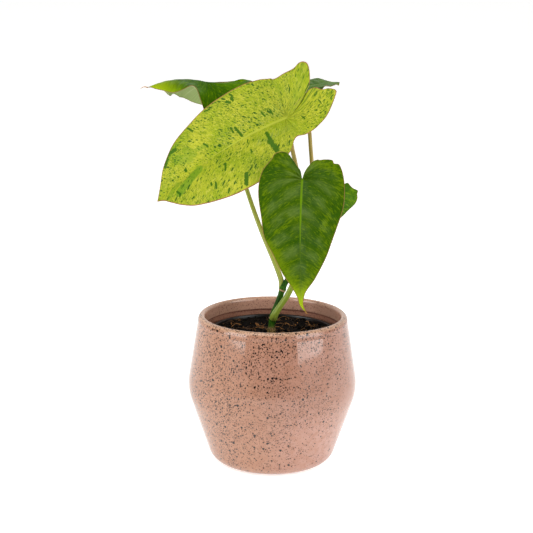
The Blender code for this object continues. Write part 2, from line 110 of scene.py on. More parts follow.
def smooth_line(points, count):
    """A curve through the points (Catmull-Rom: each stretch is a cubic whose slopes at
    its ends run parallel to the line between the neighbours), evenly spaced."""
    points = np.array(points, float)
    ends = np.vstack([2 * points[0] - points[1], points, 2 * points[-1] - points[-2]])
    share = np.linspace(0, 1, 12, endpoint=False)[:, None]
    a, b, c, d = (ends[i:len(ends) - 3 + i, None] for i in range(4))
    dense = 0.5 * (2 * b + (c - a) * share + (2 * a - 5 * b + 4 * c - d) * share**2
                   + (3 * b - a - 3 * c + d) * share**3)
    dense = np.vstack([dense.reshape(-1, points.shape[1]), points[-1:]])
    travelled = np.concatenate([[0], np.cumsum(np.linalg.norm(np.diff(dense, axis=0), axis=1))])
    wanted = np.linspace(0, travelled[-1], count)
    return np.stack([np.interp(wanted, travelled, column) for column in dense.T], 1)


LATTICE = 64


def value_noise(x, y, cell, seed):
    """Soft random numbers from -1 to 1: each corner of a square lattice has one, and
    they are blended across a cell by the step 3t^2 - 2t^3. The lattice repeats after
    64 cells, and ten times that is added so that no place on a piece lies below zero."""
    table = np.random.default_rng(seed).uniform(-1, 1, (LATTICE, LATTICE))
    x, y = np.asarray(x) / cell + 10 * LATTICE, np.asarray(y) / cell + 10 * LATTICE
    column, row = np.floor(x).astype(int), np.floor(y).astype(int)
    u, v = x - column, y - row
    u, v = u * u * (3 - 2 * u), v * v * (3 - 2 * v)
    near_left, near_right, far_left, far_right = (
        table[(column + i) % LATTICE, (row + j) % LATTICE]
        for i, j in ((0, 0), (1, 0), (0, 1), (1, 1)))
    near = near_left * (1 - u) + near_right * u
    far = far_left * (1 - u) + far_right * u
    return near * (1 - v) + far * v


# %% [markdown]
# ## A short way to write finishes
# A finish is a node tree, and a long one is easier to read as formulas. This small
# class adds one node for each call and takes either a number or another node's output
# for an input. Colours are written as on a paint chart, in hex, and turned into the
# linear light that the shader works in.

# %% Node helper
def paint(code):
    """A hex colour as linear red, green, blue and alpha."""
    levels = [int(code[i:i + 2], 16) / 255 for i in (0, 2, 4)]
    return [v / 12.92 if v <= 0.04045 else ((v + 0.055) / 1.055) ** 2.4 for v in levels] + [1.0]


class Finish:
    """A material whose nodes are added one call at a time."""

    def __init__(self, name):
        self.material = bpy.data.materials.new(name)
        self.material.use_nodes = True
        self.tree = self.material.node_tree
        self.shader = self.tree.nodes["Principled BSDF"]

    def put(self, value, socket):
        """Links another node's output to a socket, or sets the socket to a number."""
        if isinstance(value, bpy.types.NodeSocket):
            self.tree.links.new(value, socket)
        else:
            socket.default_value = value

    def add(self, kind, output=0, settings=None, **inputs):
        """A node of any kind. An underscore in an input's name stands for a space."""
        node = self.tree.nodes.new(kind)
        for key, value in (settings or {}).items():
            setattr(node, key, value)
        for key, value in inputs.items():
            self.put(value, node.inputs[key.replace("_", " ")])
        return node.outputs[output]

    def maths(self, operation, *values):
        """One sum, product or other operation on numbers."""
        node = self.tree.nodes.new("ShaderNodeMath")
        node.operation = operation
        for value, socket in zip(values, node.inputs):
            self.put(value, socket)
        return node.outputs[0]

    def step(self, value, low, high, to_low=0.0, to_high=1.0):
        """A soft step: to_low below low and to_high above high."""
        node = self.tree.nodes.new("ShaderNodeMapRange")
        node.interpolation_type = "SMOOTHSTEP"
        for socket, given in zip(node.inputs, (value, low, high, to_low, to_high)):
            self.put(given, socket)
        return node.outputs[0]

    def mix(self, share, below, above):
        """A share of the colour above over the colour below. The node has a set of
        sockets for each kind of value, so the colour ones are found by number."""
        node = self.tree.nodes.new("ShaderNodeMix")
        node.data_type = "RGBA"
        for value, index in ((share, 0), (below, 6), (above, 7)):
            self.put(value, node.inputs[index])
        return node.outputs[2]

    def place(self):
        """The point's place in metres, which stays with the piece."""
        return self.add("ShaderNodeTexCoord", output="Object")

    def value(self, name):
        """A number that the mesh holds at each point."""
        return self.add("ShaderNodeAttribute", output="Fac", settings={"attribute_name": name})

    def noise(self, at, scale, detail=2.0, roughness=0.5, stretch=None):
        """Noise of about 0.3 to 0.7 with scale lumps a metre. A stretch below 1 in one
        direction draws the lumps out along it."""
        if stretch:
            at = self.add("ShaderNodeMapping", Vector=at, Scale=stretch)
        return self.add("ShaderNodeTexNoise", Vector=at, Scale=scale, Detail=detail,
                        Roughness=roughness)

    def bump(self, height, depth, over=None):
        """Bends the surface's normal by a height of 0 to 1 that stands for depth metres."""
        node = self.tree.nodes.new("ShaderNodeBump")
        node.inputs["Strength"].default_value = 1.0
        node.inputs["Distance"].default_value = depth
        self.put(height, node.inputs["Height"])
        if over:
            self.put(over, node.inputs["Normal"])
        return node.outputs[0]

    def set(self, **inputs):
        """Fills the surface shader's own sockets and gives the finished material."""
        for key, value in inputs.items():
            self.put(value, self.shader.inputs[key.replace("_", " ")])
        return self.material


print("half grey, 808080, in linear light:", round(paint("808080")[0], 3))

# %% [markdown]
# ## Camera
# A product picture of a small plant is taken from a little above with a long lens, so
# that the pot's sides stay nearly upright. The lens and the place below put the pot's
# rim, lip and foot where the picture has them.

# %% Camera
CAMERA_PLACE = (0.0, -1.52689, 0.54812)
CAMERA_YAW = math.radians(-0.236)
CAMERA_PITCH = math.radians(13.379)
CAMERA_ROLL = math.radians(0.52)
SENSOR_WIDTH = 36.0
FOCAL_PIXELS = 1709.3
PICTURE_WIDTH = 533

camera = bpy.data.objects.new("camera", bpy.data.cameras.new("camera"))
bpy.context.scene.collection.objects.link(camera)
bpy.context.scene.camera = camera
camera.data.sensor_width = SENSOR_WIDTH
camera.data.lens = FOCAL_PIXELS * SENSOR_WIDTH / PICTURE_WIDTH
camera.data.clip_start = 0.01
forward = Vector((math.sin(CAMERA_YAW) * math.cos(CAMERA_PITCH),
                  math.cos(CAMERA_YAW) * math.cos(CAMERA_PITCH), -math.sin(CAMERA_PITCH)))
level = forward.cross(Vector((0, 0, 1))).normalized()
upright = level.cross(forward)
right = level * math.cos(CAMERA_ROLL) + upright * math.sin(CAMERA_ROLL)
turn = Matrix((right, right.cross(forward), -forward)).transposed()
camera.matrix_world = Matrix.Translation(CAMERA_PLACE) @ turn.to_4x4()
print(f"lens {camera.data.lens:.1f} mm")

# %% [markdown]
# ## Studio
# The picture is a clean product shot: a pale floor and soft light from all round. Two
# tall softboxes, one to each side, leave the two soft window shapes on the pot's
# shoulder, and one above the camera puts a sheen on the leaves. A softbox is an area
# light, and its brightness is its power over its area, so each is given as a
# brightness and the power follows.

# %% Floor and lights
def softbox(name, place, aim, width, height, brightness, roll=0.0):
    """A rectangular light at a place, turned to face a point and rolled about that line.
    Its power is pi times its area times its brightness."""
    lamp = bpy.data.lights.new(name, "AREA")
    lamp.shape = "RECTANGLE"
    lamp.size = width
    lamp.size_y = height
    lamp.energy = math.pi * width * height * brightness
    made = bpy.data.objects.new(name, lamp)
    bpy.context.scene.collection.objects.link(made)
    facing = (Vector(aim) - Vector(place)).to_track_quat("-Z", "Y").to_matrix()
    turned_box = facing @ Matrix.Rotation(math.radians(roll), 3, "Z")
    made.matrix_world = Matrix.Translation(place) @ turned_box.to_4x4()
    print(f"{name}: {lamp.energy:.1f} W")


softbox("left_softbox", (-1.10, -0.68, 0.765), (0, 0, 0.765), 0.86, 1.28, 5.2, 2.0)
softbox("right_softbox", (1.07, -0.67, 0.74), (0, 0, 0.74), 0.99, 1.28, 4.6, -3.0)
softbox("upper_softbox", (-0.30, -0.55, 1.75), (0, 0, 0.25), 1.1, 0.9, 3.4)

# %% [markdown]
# The room in front of the pot is dimmer than the white paper behind it, which keeps
# the leaves' colours deep: a glossy leaf that faces the camera mirrors the dim side. So
# the world's strength is a soft step along Y, from dim in front to bright behind. The
# direction's Y is -1 straight in front, 0 at the sides and 1 straight behind.

# %% World
DIM_FRONT = 0.20
BRIGHT_BACK = 1.0
DIM_UNTIL = 0.15
BRIGHT_FROM = 0.60

world = bpy.data.worlds.new("studio")
world.use_nodes = True
tree = world.node_tree
direction = tree.nodes.new("ShaderNodeTexCoord")
parts = tree.nodes.new("ShaderNodeSeparateXYZ")
strength = tree.nodes.new("ShaderNodeMapRange")
strength.interpolation_type = "SMOOTHSTEP"
for socket, given in zip(strength.inputs, (0.0, DIM_UNTIL, BRIGHT_FROM, DIM_FRONT, BRIGHT_BACK)):
    socket.default_value = given
tree.links.new(direction.outputs["Generated"], parts.inputs[0])
tree.links.new(parts.outputs["Y"], strength.inputs["Value"])
background = tree.nodes["Background"]
background.inputs["Color"].default_value = (1.0, 1.0, 1.0, 1.0)
tree.links.new(strength.outputs["Result"], background.inputs["Strength"])
bpy.context.scene.world = world
bpy.context.scene.view_settings.view_transform = "Standard"
print(f"world's strength: {DIM_FRONT} in front, {BRIGHT_BACK} behind")

# %% [markdown]
# The floor is one large flat square of white paper. It shines a little by itself, so
# that it stays as pale as a product shot's, and lies a hair below the pot's base, so
# that the two never share a plane.

# %% Floor
FLOOR_REACH = 60.0
FLOOR_DROP = 0.0002
FLOOR_GLOW = 0.60

floor_mesh = bpy.data.meshes.new("floor")
floor_corners = [(-FLOOR_REACH, -FLOOR_REACH, 0), (FLOOR_REACH, -FLOOR_REACH, 0),
                 (FLOOR_REACH, FLOOR_REACH, 0), (-FLOOR_REACH, FLOOR_REACH, 0)]
floor_mesh.from_pydata(floor_corners, [], [(0, 1, 2, 3)])
floor = bpy.data.objects.new("floor", floor_mesh)
bpy.context.scene.collection.objects.link(floor)
floor.location.z = -FLOOR_DROP
floor_paper = Finish("floor_paper")
paper_grain = floor_paper.noise(floor_paper.place(), 40.0, 3.0)
paper_tone = floor_paper.mix(paper_grain, paint("F4F3F1"), paint("F7F6F4"))
floor_mesh.materials.append(floor_paper.set(
    Base_Color=paper_tone, Roughness=0.9, Specular_IOR_Level=0.1,
    Emission_Color=(1.0, 1.0, 1.0, 1.0), Emission_Strength=FLOOR_GLOW))
print(f"floor: {2 * FLOOR_REACH:.0f} m across")

# %% [markdown]
# ## The cover pot
# The pot is thrown or cast stoneware, turned about one axis, so its whole wall is one
# outline carried round a circle: floor, inner wall, the step under the glazed collar,
# the fat lip, a straight shoulder, a soft belly, a straight lower wall and the flat
# base. A Screw modifier would do it too, but an array lets the outline have points
# close together where it bends and far apart where it is straight.

# %% The pot's outline
COVER_HEIGHT = 0.140
COVER_RIM_RADIUS = 0.0685
COVER_BELLY = (0.0795, 0.071)
COVER_FOOT_RADIUS = 0.055
COVER_WALL = 0.006
COVER_LOWER_WALL = 0.0062
COVER_FLOOR = 0.008
LIP_TOP_RADIUS = 0.0653
LIP_OUTER_DROP = 0.006
LIP_INNER_DROP = 0.0032
MOUTH_RADIUS = 0.0627
COLLAR_DEPTH = 0.0115
COLLAR_STEP = 0.0016
INNER_FOOT_CURVE = 0.012
INNER_BELLY_CURVE = 0.042
UNDER_COLLAR_CURVE = 0.0006
COLLAR_EDGE_CURVE = 0.0012
BELLY_CURVE = 0.047
FOOT_CURVE = 0.017
COVER_LONGEST = 0.003
COVER_COLUMNS = 192


def rounded(before, corner, after, radius, count):
    """The arc that rounds a corner: its centre lies on the corner's bisector, radius over
    the sine of half the angle away, and it touches both sides."""
    before, corner, after = (np.array(p, float) for p in (before, corner, after))
    into = (before - corner) / np.linalg.norm(before - corner)
    out = (after - corner) / np.linalg.norm(after - corner)
    half = math.acos(float(into @ out)) / 2
    middle = (into + out) / np.linalg.norm(into + out)
    centre = corner + middle * radius / math.sin(half)
    sweep = math.pi / 2 - half
    side = (out - middle * (out @ middle)) / np.linalg.norm(out - middle * (out @ middle))
    angle = np.linspace(-sweep, sweep, count)[:, None]
    return centre + radius * (np.sin(angle) * side - np.cos(angle) * middle)


def quarter_lip(start_radius, end_radius, drop, count, rising):
    """A quarter of an ellipse between the lip's top and one of its sides."""
    angle = np.linspace(0, math.pi / 2, count)
    if rising:
        return np.stack([end_radius - (end_radius - start_radius) * np.cos(angle),
                         COVER_HEIGHT - drop * (1 - np.sin(angle))], 1)
    return np.stack([start_radius + (end_radius - start_radius) * np.sin(angle),
                     COVER_HEIGHT - drop * (1 - np.cos(angle))], 1)


def fill_gaps(outline, longest):
    """Adds points along the outline's straight stretches, none farther apart than longest."""
    gaps = np.linalg.norm(np.diff(outline, axis=0), axis=1)
    filled = [np.linspace(a, b, max(1, math.ceil(gap / longest)), endpoint=False)
              for a, b, gap in zip(outline[:-1], outline[1:], gaps) if gap > 1e-7]
    return np.vstack([*filled, outline[-1:]])


def cover_outline():
    """Radius and height from the middle of the inner floor, over the lip, to the middle
    of the base."""
    belly_radius, belly_height = COVER_BELLY
    collar_foot = COVER_HEIGHT - COLLAR_DEPTH
    wall_top = (MOUTH_RADIUS + COLLAR_STEP, collar_foot - COLLAR_STEP)
    flare = (belly_radius - COVER_FOOT_RADIUS) / belly_height
    lean = (belly_radius - COVER_RIM_RADIUS) / (COVER_HEIGHT - belly_height)
    inner_belly = (belly_radius - COVER_WALL, belly_height)
    inner_foot = (COVER_FOOT_RADIUS + flare * COVER_FLOOR - COVER_LOWER_WALL, COVER_FLOOR)
    lip_side = COVER_RIM_RADIUS + lean * LIP_OUTER_DROP
    return fill_gaps(np.vstack([
        [(0, COVER_FLOOR)],
        rounded((0, COVER_FLOOR), inner_foot, inner_belly, INNER_FOOT_CURVE, 9),
        rounded(inner_foot, inner_belly, wall_top, INNER_BELLY_CURVE, 15),
        rounded(inner_belly, wall_top, (MOUTH_RADIUS, collar_foot - 0.4 * COLLAR_STEP),
                UNDER_COLLAR_CURVE, 5),
        rounded(wall_top, (MOUTH_RADIUS, collar_foot), (MOUTH_RADIUS, COVER_HEIGHT),
                COLLAR_EDGE_CURVE, 6),
        quarter_lip(MOUTH_RADIUS, LIP_TOP_RADIUS, LIP_INNER_DROP, 12, True),
        quarter_lip(LIP_TOP_RADIUS, lip_side, LIP_OUTER_DROP, 14, False)[1:],
        rounded((COVER_RIM_RADIUS, COVER_HEIGHT), COVER_BELLY, (COVER_FOOT_RADIUS, 0),
                BELLY_CURVE, 24),
        rounded(COVER_BELLY, (COVER_FOOT_RADIUS, 0), (0, 0), FOOT_CURVE, 14),
        [(0, 0)]]), COVER_LONGEST)


def turned(name, outline, count, material, replaces):
    """Carries a (radius, height) outline round the Z axis in count columns. The number
    inside is 1 at points that come before the outline's highest one, and 0 after."""
    angle = np.arange(count) * 2 * math.pi / count
    radius, height = outline[:, :1], outline[:, 1:]
    points = np.stack([radius * np.cos(angle), radius * np.sin(angle),
                       np.broadcast_to(height, (len(outline), count))], -1)
    squares = grid_squares(len(outline), count, around=True, flip=True)
    inside = np.repeat(np.arange(len(outline)) < np.argmax(outline[:, 1]), count)
    return make_piece(name, points.reshape(-1, 3), squares, material,
                      {"inside": inside}, replaces)


print("points on the cover pot's outline:", len(cover_outline()))

# %% [markdown]
# ## Speckled glaze
# The glaze is a peach-pink stoneware glaze in which specks of iron from the clay have
# melted through: dark brown dots from half a millimetre to over two across, thick on
# the upper and middle left, thin towards the lower right. Each speck is a cell of a
# Voronoi pattern: the distance to the cell's centre is compared with a radius drawn from
# the cell's own random colour, so that few cells hold a big dot. Three sizes of cell are
# laid over each other, and a wider, faint dot round the middling ones is the rusty halo
# where the iron has bled. Noise bends the pattern a little, which makes the dots uneven.

# %% Glaze finish
# Each kind of dot: cells a metre, smallest and largest radius, share of cells, shift.
FINE_DOTS = (950.0, 0.00024, 0.00046, 0.95, 0.0)
MIDDLING_DOTS = (620.0, 0.00032, 0.00080, 0.92, 0.31)
COARSE_DOTS = (260.0, 0.00055, 0.00130, 0.80, 0.73)
RUSTY_HALOS = (620.0, 0.00055, 0.0011, 0.95, 0.31)
DOT_WOBBLE = 0.0007


def speckled_glaze():
    """Peach glaze in warm and rosy zones, browner on the shoulder, a pale band on the lip that
    is a painted highlight, and painted light inside, paler on the collar with painted shade
    below it; plainer inside, with halos and specks over it and a glossy, faintly rippled
    surface."""
    glaze = Finish("speckled_glaze")
    place = glaze.place()
    wobble = glaze.add("ShaderNodeTexNoise", output="Color", Vector=place, Scale=1400.0,
                       Detail=2.0)
    bent_place = glaze.add("ShaderNodeVectorMath", settings={"operation": "MULTIPLY_ADD"})
    for value, socket in zip((wobble, (DOT_WOBBLE,) * 3, place), bent_place.node.inputs):
        glaze.put(value, socket)
    split = glaze.add("ShaderNodeSeparateXYZ", Vector=place).node
    across, height = split.outputs["X"], split.outputs["Z"]
    crowd = glaze.noise(place, 32.0, 2.0)
    thin_out = glaze.maths("MULTIPLY_ADD", across, 8.5, glaze.maths("MULTIPLY", height, -6.5))
    crowd = glaze.maths("SUBTRACT", glaze.maths("MULTIPLY_ADD", crowd, 1.7, -0.48), thin_out)

    def dots(cells, smallest, largest, rarity, shift):
        """Dots in cells of a size: a random share of the cells has one, more where the
        specks crowd, and its radius runs from smallest to largest in metres."""
        moved = glaze.add("ShaderNodeMapping", Vector=bent_place, Location=(shift, 0.0, 0.0))
        voronoi = glaze.add("ShaderNodeTexVoronoi", Vector=moved, Scale=cells).node
        chance = glaze.add("ShaderNodeSeparateColor", Color=voronoi.outputs["Color"]).node
        size = glaze.maths("POWER", chance.outputs[0], 2.5)
        radius = glaze.maths("MULTIPLY_ADD", size, (largest - smallest) * cells, smallest * cells)
        ratio = glaze.maths("DIVIDE", voronoi.outputs["Distance"], radius)
        dot = glaze.step(ratio, 1.1, 0.8)
        kept = glaze.step(glaze.maths("SUBTRACT", glaze.maths("MULTIPLY", crowd, rarity),
                                      chance.outputs[1]), 0.0, 0.04)
        return glaze.maths("MULTIPLY", dot, kept)

    fine = glaze.maths("MULTIPLY", dots(*FINE_DOTS), 0.85)
    middling = dots(*MIDDLING_DOTS)
    coarse = dots(*COARSE_DOTS)
    specks = glaze.maths("MAXIMUM", glaze.maths("MAXIMUM", fine, middling), coarse)
    warm = glaze.noise(place, 18.0, 3.0)
    rosy = glaze.step(glaze.maths("ADD", glaze.maths("MULTIPLY", across, 7.0),
                                  glaze.maths("MULTIPLY", warm, 0.9)), 0.1, 1.0)
    body = glaze.mix(rosy, paint("A1775F"), paint("A98173"))
    mottle = glaze.noise(place, 170.0, 3.0, 0.6)
    body = glaze.mix(glaze.step(mottle, 0.35, 0.7, 0.0, 0.55), body, paint("976A53"))
    upper = glaze.maths("MULTIPLY", glaze.step(height, 0.035, 0.085, 0.10, 0.42),
                        glaze.step(across, -0.055, 0.010, 0.10, 1.05))
    body = glaze.mix(upper, body, paint("7A5240"))
    halo = glaze.maths("MULTIPLY", dots(*RUSTY_HALOS), 0.40)
    body = glaze.mix(halo, body, paint("7E523E"))
    collar_foot = COVER_HEIGHT - COLLAR_DEPTH
    painted_shade_below_collar = glaze.step(height, collar_foot + 0.001, collar_foot - 0.001)
    # Painted highlight: a pale band along the top of the lip stands in for the light that the lip's
    # top catches.
    lip_painted_highlight = glaze.step(height, COVER_HEIGHT - 0.0035, COVER_HEIGHT - 0.001, 0.0, 0.55)
    body = glaze.mix(lip_painted_highlight, body, paint("C09A7C"))
    # Painted light: the inside is made lighter than the outside, for the light that falls into the
    # pot, and is paler on the collar than on the wall below it, which is painted shade under the
    # collar. The fewer specks inside are the glaze's own.
    inside = glaze.value("inside")
    body = glaze.mix(glaze.maths("MULTIPLY", inside, 0.55), body,
                     glaze.mix(painted_shade_below_collar, paint("C69A86"), paint("B07A66")))
    specks = glaze.maths("MULTIPLY", specks, glaze.maths("MULTIPLY_ADD", inside, -0.60, 1.0))
    tint = glaze.mix(glaze.noise(place, 700.0, 1.0), paint("040202"), paint("1A0E0A"))
    colour = glaze.mix(specks, body, tint)
    lip = glaze.step(height, COVER_HEIGHT - 0.006, COVER_HEIGHT - 0.001, 0.03, 0.20)
    gloss = glaze.maths("MULTIPLY_ADD", mottle, 0.04, lip)
    ripple = glaze.bump(glaze.noise(place, 60.0, 1.0), 0.00007)
    pits = glaze.bump(glaze.maths("SUBTRACT", 1.0, specks), 0.00001, ripple)
    return glaze.set(Base_Color=colour, Roughness=gloss, Normal=pits, IOR=1.5)


turned("cover_pot_glazed", cover_outline(), COVER_COLUMNS, speckled_glaze(),
       ("cover_pot",))

# %% [markdown]
# ## The growing pot
# The plant still stands in the thin black pot that it was raised in. Only its rim shows:
# a band of moulded plastic with a soft highlight. The rim is turned over and its skirt
# hangs down outside the tapered wall. Six drain holes on a ring go through its floor;
# they are cut by taking a drum for each hole away from the turned shape.

# %% Growing pot
GROWING_TOP = 0.1245
GROWING_MOUTH = 0.0575
GROWING_FOOT = 0.043
GROWING_WALL = 0.0012
GROWING_BASE = 0.0083
GROWING_FLOOR = 0.0016
GROWING_RIM = 0.060
RIM_SKIRT = 0.006
RIM_THICKNESS = 0.0017
GROWING_LONGEST = 0.004
GROWING_COLUMNS = 128
DRAIN_HOLES = 6
DRAIN_HOLE_RADIUS = 0.004
DRAIN_RING_RADIUS = 0.031
DRUM_SIDES = 32
DRUM_BELOW = 0.002
DRUM_ABOVE = 0.004
SHARP_ABOVE = math.radians(50)


def growing_outline():
    """Radius and height from the inner floor, over the turned-down rim, to the base."""
    skirt = GROWING_TOP - RIM_SKIRT
    under = GROWING_TOP - RIM_THICKNESS
    floor_top = GROWING_BASE + GROWING_FLOOR
    inner_foot = GROWING_FOOT - 0.001
    return fill_gaps(np.vstack([
        [(0, floor_top), (inner_foot, floor_top)],
        rounded((inner_foot, 0.01), (GROWING_MOUTH - GROWING_WALL, GROWING_TOP),
                (GROWING_RIM, GROWING_TOP), 0.0006, 6),
        rounded((GROWING_MOUTH, GROWING_TOP), (GROWING_RIM, GROWING_TOP),
                (GROWING_RIM, skirt), 0.0011, 8),
        rounded((GROWING_RIM, GROWING_TOP), (GROWING_RIM, skirt),
                (GROWING_RIM - GROWING_WALL, skirt), 0.0003, 4),
        [(GROWING_RIM - GROWING_WALL, skirt), (GROWING_RIM - GROWING_WALL, under),
         (GROWING_MOUTH - 0.0002, under)],
        rounded((GROWING_MOUTH, under), (GROWING_FOOT, GROWING_BASE), (0, GROWING_BASE), 0.003, 8),
        [(0, GROWING_BASE)]]), GROWING_LONGEST)


def moulded_plastic():
    """Satin black plastic with a fine pebbled bump and a film of dust in patches."""
    plastic = Finish("moulded_black_plastic")
    place = plastic.place()
    grain = plastic.noise(place, 2600.0, 2.0)
    dust = plastic.step(plastic.noise(place, 120.0, 4.0, 0.65), 0.52, 0.78, 0.0, 0.35)
    colour = plastic.mix(dust, paint("060606"), paint("15120F"))
    gloss = plastic.maths("MULTIPLY_ADD", dust, 0.5, 0.28)
    return plastic.set(Base_Color=colour, Roughness=gloss, Normal=plastic.bump(grain, 0.00003))


def drill_floor(piece):
    """Cuts the ring of drain holes through the floor with one Boolean difference: a drum
    of many sides stands in each hole, from below the floor to above it."""
    turn = np.arange(DRUM_SIDES) * 2 * math.pi / DRUM_SIDES
    middle = np.arange(DRAIN_HOLES) * 2 * math.pi / DRAIN_HOLES
    x = DRAIN_RING_RADIUS * np.cos(middle)[:, None] + DRAIN_HOLE_RADIUS * np.cos(turn)
    y = DRAIN_RING_RADIUS * np.sin(middle)[:, None] + DRAIN_HOLE_RADIUS * np.sin(turn)
    ends = [np.stack([x, y, np.full_like(x, z)], -1)
            for z in (GROWING_BASE - DRUM_BELOW, GROWING_BASE + DRUM_ABOVE)]
    points = np.stack(ends, 1).reshape(-1, 3)
    faces = []
    for hole in range(DRAIN_HOLES):
        low = np.arange(DRUM_SIDES) + hole * 2 * DRUM_SIDES
        high = low + DRUM_SIDES
        faces += [low[::-1].tolist(), high.tolist()]
        faces += np.stack([low, np.roll(low, -1), np.roll(high, -1), high], 1).tolist()
    drums = bpy.data.meshes.new("drain_drums")
    drums.from_pydata(points.tolist(), [], faces)
    cutter = bpy.data.objects.new("drain_drums", drums)
    bpy.context.scene.collection.objects.link(cutter)
    cut = piece.modifiers.new("drain holes", "BOOLEAN")
    cut.object, cut.operation, cut.solver = cutter, "DIFFERENCE", "EXACT"
    depsgraph = bpy.context.evaluated_depsgraph_get()
    piece.data = bpy.data.meshes.new_from_object(piece.evaluated_get(depsgraph))
    piece.modifiers.clear()
    piece.data.set_sharp_from_angle(angle=SHARP_ABOVE)
    bpy.data.objects.remove(cutter)
    print(f"{piece.name}: {len(piece.data.polygons)} faces with {DRAIN_HOLES} drain holes")


growing_pot = turned("growing_pot_moulded", growing_outline(), GROWING_COLUMNS,
                     moulded_plastic(), ("growing_pot",))
drill_floor(growing_pot)

# %% [markdown]
# ## Potting soil
# Potting soil is a loose mix of dark peat crumbs, coir fibres and a few chips of bark.
# The soil fills the growing pot nearly to its rim. Its surface is a round grid, a little
# higher in the middle and heaped towards the wall, and lifted by noise of four sizes.

# %% Soil surface
SOIL_LEVEL = 0.1188
SOIL_RADIUS = 0.0553
SOIL_FLOOR = 0.0103
SOIL_COLUMNS = 220
SOIL_RINGS = 90


def soil_height(x, y):
    """A low mound in the middle, soil heaped up towards the pot's wall, more at the
    back, and noise of four sizes."""
    radius = np.hypot(x, y)
    mound = 0.0016 * np.exp(-((radius / 0.03) ** 2))
    heaped = 0.0034 * np.clip((radius / SOIL_RADIUS - 0.45) / 0.5, 0, 1) ** 1.5 * (
        0.65 + 0.35 * y / np.maximum(radius, 1e-6))
    uneven = (0.0010 * value_noise(x, y, 0.0105, 1) + 0.0008 * value_noise(x, y, 0.0046, 2)
              + 0.0005 * value_noise(x, y, 0.0019, 3) + 0.0003 * value_noise(x, y, 0.0009, 4))
    return SOIL_LEVEL + mound + heaped + uneven


def soil_plug(material):
    """Rings from the middle of the buried floor, out and up the side, and in over the
    top to the middle."""
    angle = np.arange(SOIL_COLUMNS) * 2 * math.pi / SOIL_COLUMNS
    side = np.array([(0.0, SOIL_FLOOR), (GROWING_FOOT - 0.0016, SOIL_FLOOR),
                     (SOIL_RADIUS - 0.0006, SOIL_LEVEL - 0.003)])
    top = SOIL_RADIUS * np.linspace(1, 0, SOIL_RINGS)[:, None] * np.ones(SOIL_COLUMNS)
    x, y = top * np.cos(angle), top * np.sin(angle)
    lifted = np.stack([x, y, soil_height(x, y)], -1)
    sides = np.stack([side[:, :1] * np.cos(angle), side[:, :1] * np.sin(angle),
                      np.broadcast_to(side[:, 1:], (len(side), SOIL_COLUMNS))], -1)
    points = np.concatenate([sides, lifted])
    squares = grid_squares(len(points), SOIL_COLUMNS, around=True)
    return make_piece("soil_bed", points.reshape(-1, 3), squares, material,
                      replaces=("soil",))


def peat_finish():
    """Nearly black brown, patchy, with paler dry flecks, and rough all over."""
    peat = Finish("damp_peat")
    place = peat.place()
    patch = peat.noise(place, 110.0, 4.0, 0.6)
    fleck = peat.step(peat.noise(place, 900.0, 3.0, 0.6), 0.60, 0.70)
    colour = peat.mix(peat.step(patch, 0.4, 0.65), paint("070504"), paint("150E0A"))
    colour = peat.mix(peat.maths("MULTIPLY", fleck, 0.6), colour, paint("3A2414"))
    rough = peat.bump(peat.noise(place, 1500.0, 4.0, 0.7), 0.0005)
    return peat.set(Base_Color=colour, Roughness=0.9, Normal=rough,
                    Specular_IOR_Level=0.10)


peat = peat_finish()
soil_plug(peat)

# %% [markdown]
# Loose crumbs lie all over the soil. At this size a crumb needs few faces, so each is a
# solid of twenty, pushed out of shape, squashed and turned at random. All of them are
# one piece, because they have one finish.

# %% Crumbs
CRUMB_COUNT = 1500
ICO_FACES = np.array([
    (0, 11, 5), (0, 5, 1), (0, 1, 7), (0, 7, 10), (0, 10, 11), (1, 5, 9), (5, 11, 4),
    (11, 10, 2), (10, 7, 6), (7, 1, 8), (3, 9, 4), (3, 4, 2), (3, 2, 6), (3, 6, 8),
    (3, 8, 9), (4, 9, 5), (2, 4, 11), (6, 2, 10), (8, 6, 7), (9, 8, 1)])


def icosahedron():
    """The twelve corners of a regular solid with twenty faces, on the unit sphere."""
    golden = (1 + math.sqrt(5)) / 2
    corners = np.array([(-1, golden, 0), (1, golden, 0), (-1, -golden, 0), (1, -golden, 0),
                        (0, -1, golden), (0, 1, golden), (0, -1, -golden), (0, 1, -golden),
                        (golden, 0, -1), (golden, 0, 1), (-golden, 0, -1), (-golden, 0, 1)])
    return corners / np.linalg.norm(corners[0])


def random_turns(count, rng):
    """Random rotations, as the matrices of random unit quaternions."""
    w, x, y, z = (q := rng.normal(size=(4, count))) / np.linalg.norm(q, axis=0)
    return np.stack([1 - 2 * (y * y + z * z), 2 * (x * y - z * w), 2 * (x * z + y * w),
                     2 * (x * y + z * w), 1 - 2 * (x * x + z * z), 2 * (y * z - x * w),
                     2 * (x * z - y * w), 2 * (y * z + x * w), 1 - 2 * (x * x + y * y)],
                    -1).reshape(count, 3, 3)


def lumps(name, centres, sizes, flatness, material, rng):
    """One lump at each centre: a twenty-faced solid with its corners pushed in and out,
    squashed to a flatness, then turned at random."""
    count = len(centres)
    corners = icosahedron()[None] * rng.uniform(0.72, 1.2, (count, 12, 1))
    squash = np.stack([np.ones(count), rng.uniform(0.5, 1, count), flatness], -1)
    corners = corners * squash[:, None]
    corners = np.einsum("nij,nkj->nki", random_turns(count, rng), corners)
    points = centres[:, None] + corners * sizes[:, None, None]
    faces = (ICO_FACES[None] + 12 * np.arange(count)[:, None, None]).reshape(-1, 3)
    return make_piece(name, points.reshape(-1, 3), faces, material, merge=0)


def spots_on_soil(count, rng, reach=0.985):
    """Random places on the soil, evenly spread over its area, clear of the stem."""
    radius = SOIL_RADIUS * reach * np.sqrt(rng.uniform(0.012, 1, count))
    angle = rng.uniform(0, 2 * math.pi, count)
    return radius * np.cos(angle), radius * np.sin(angle)


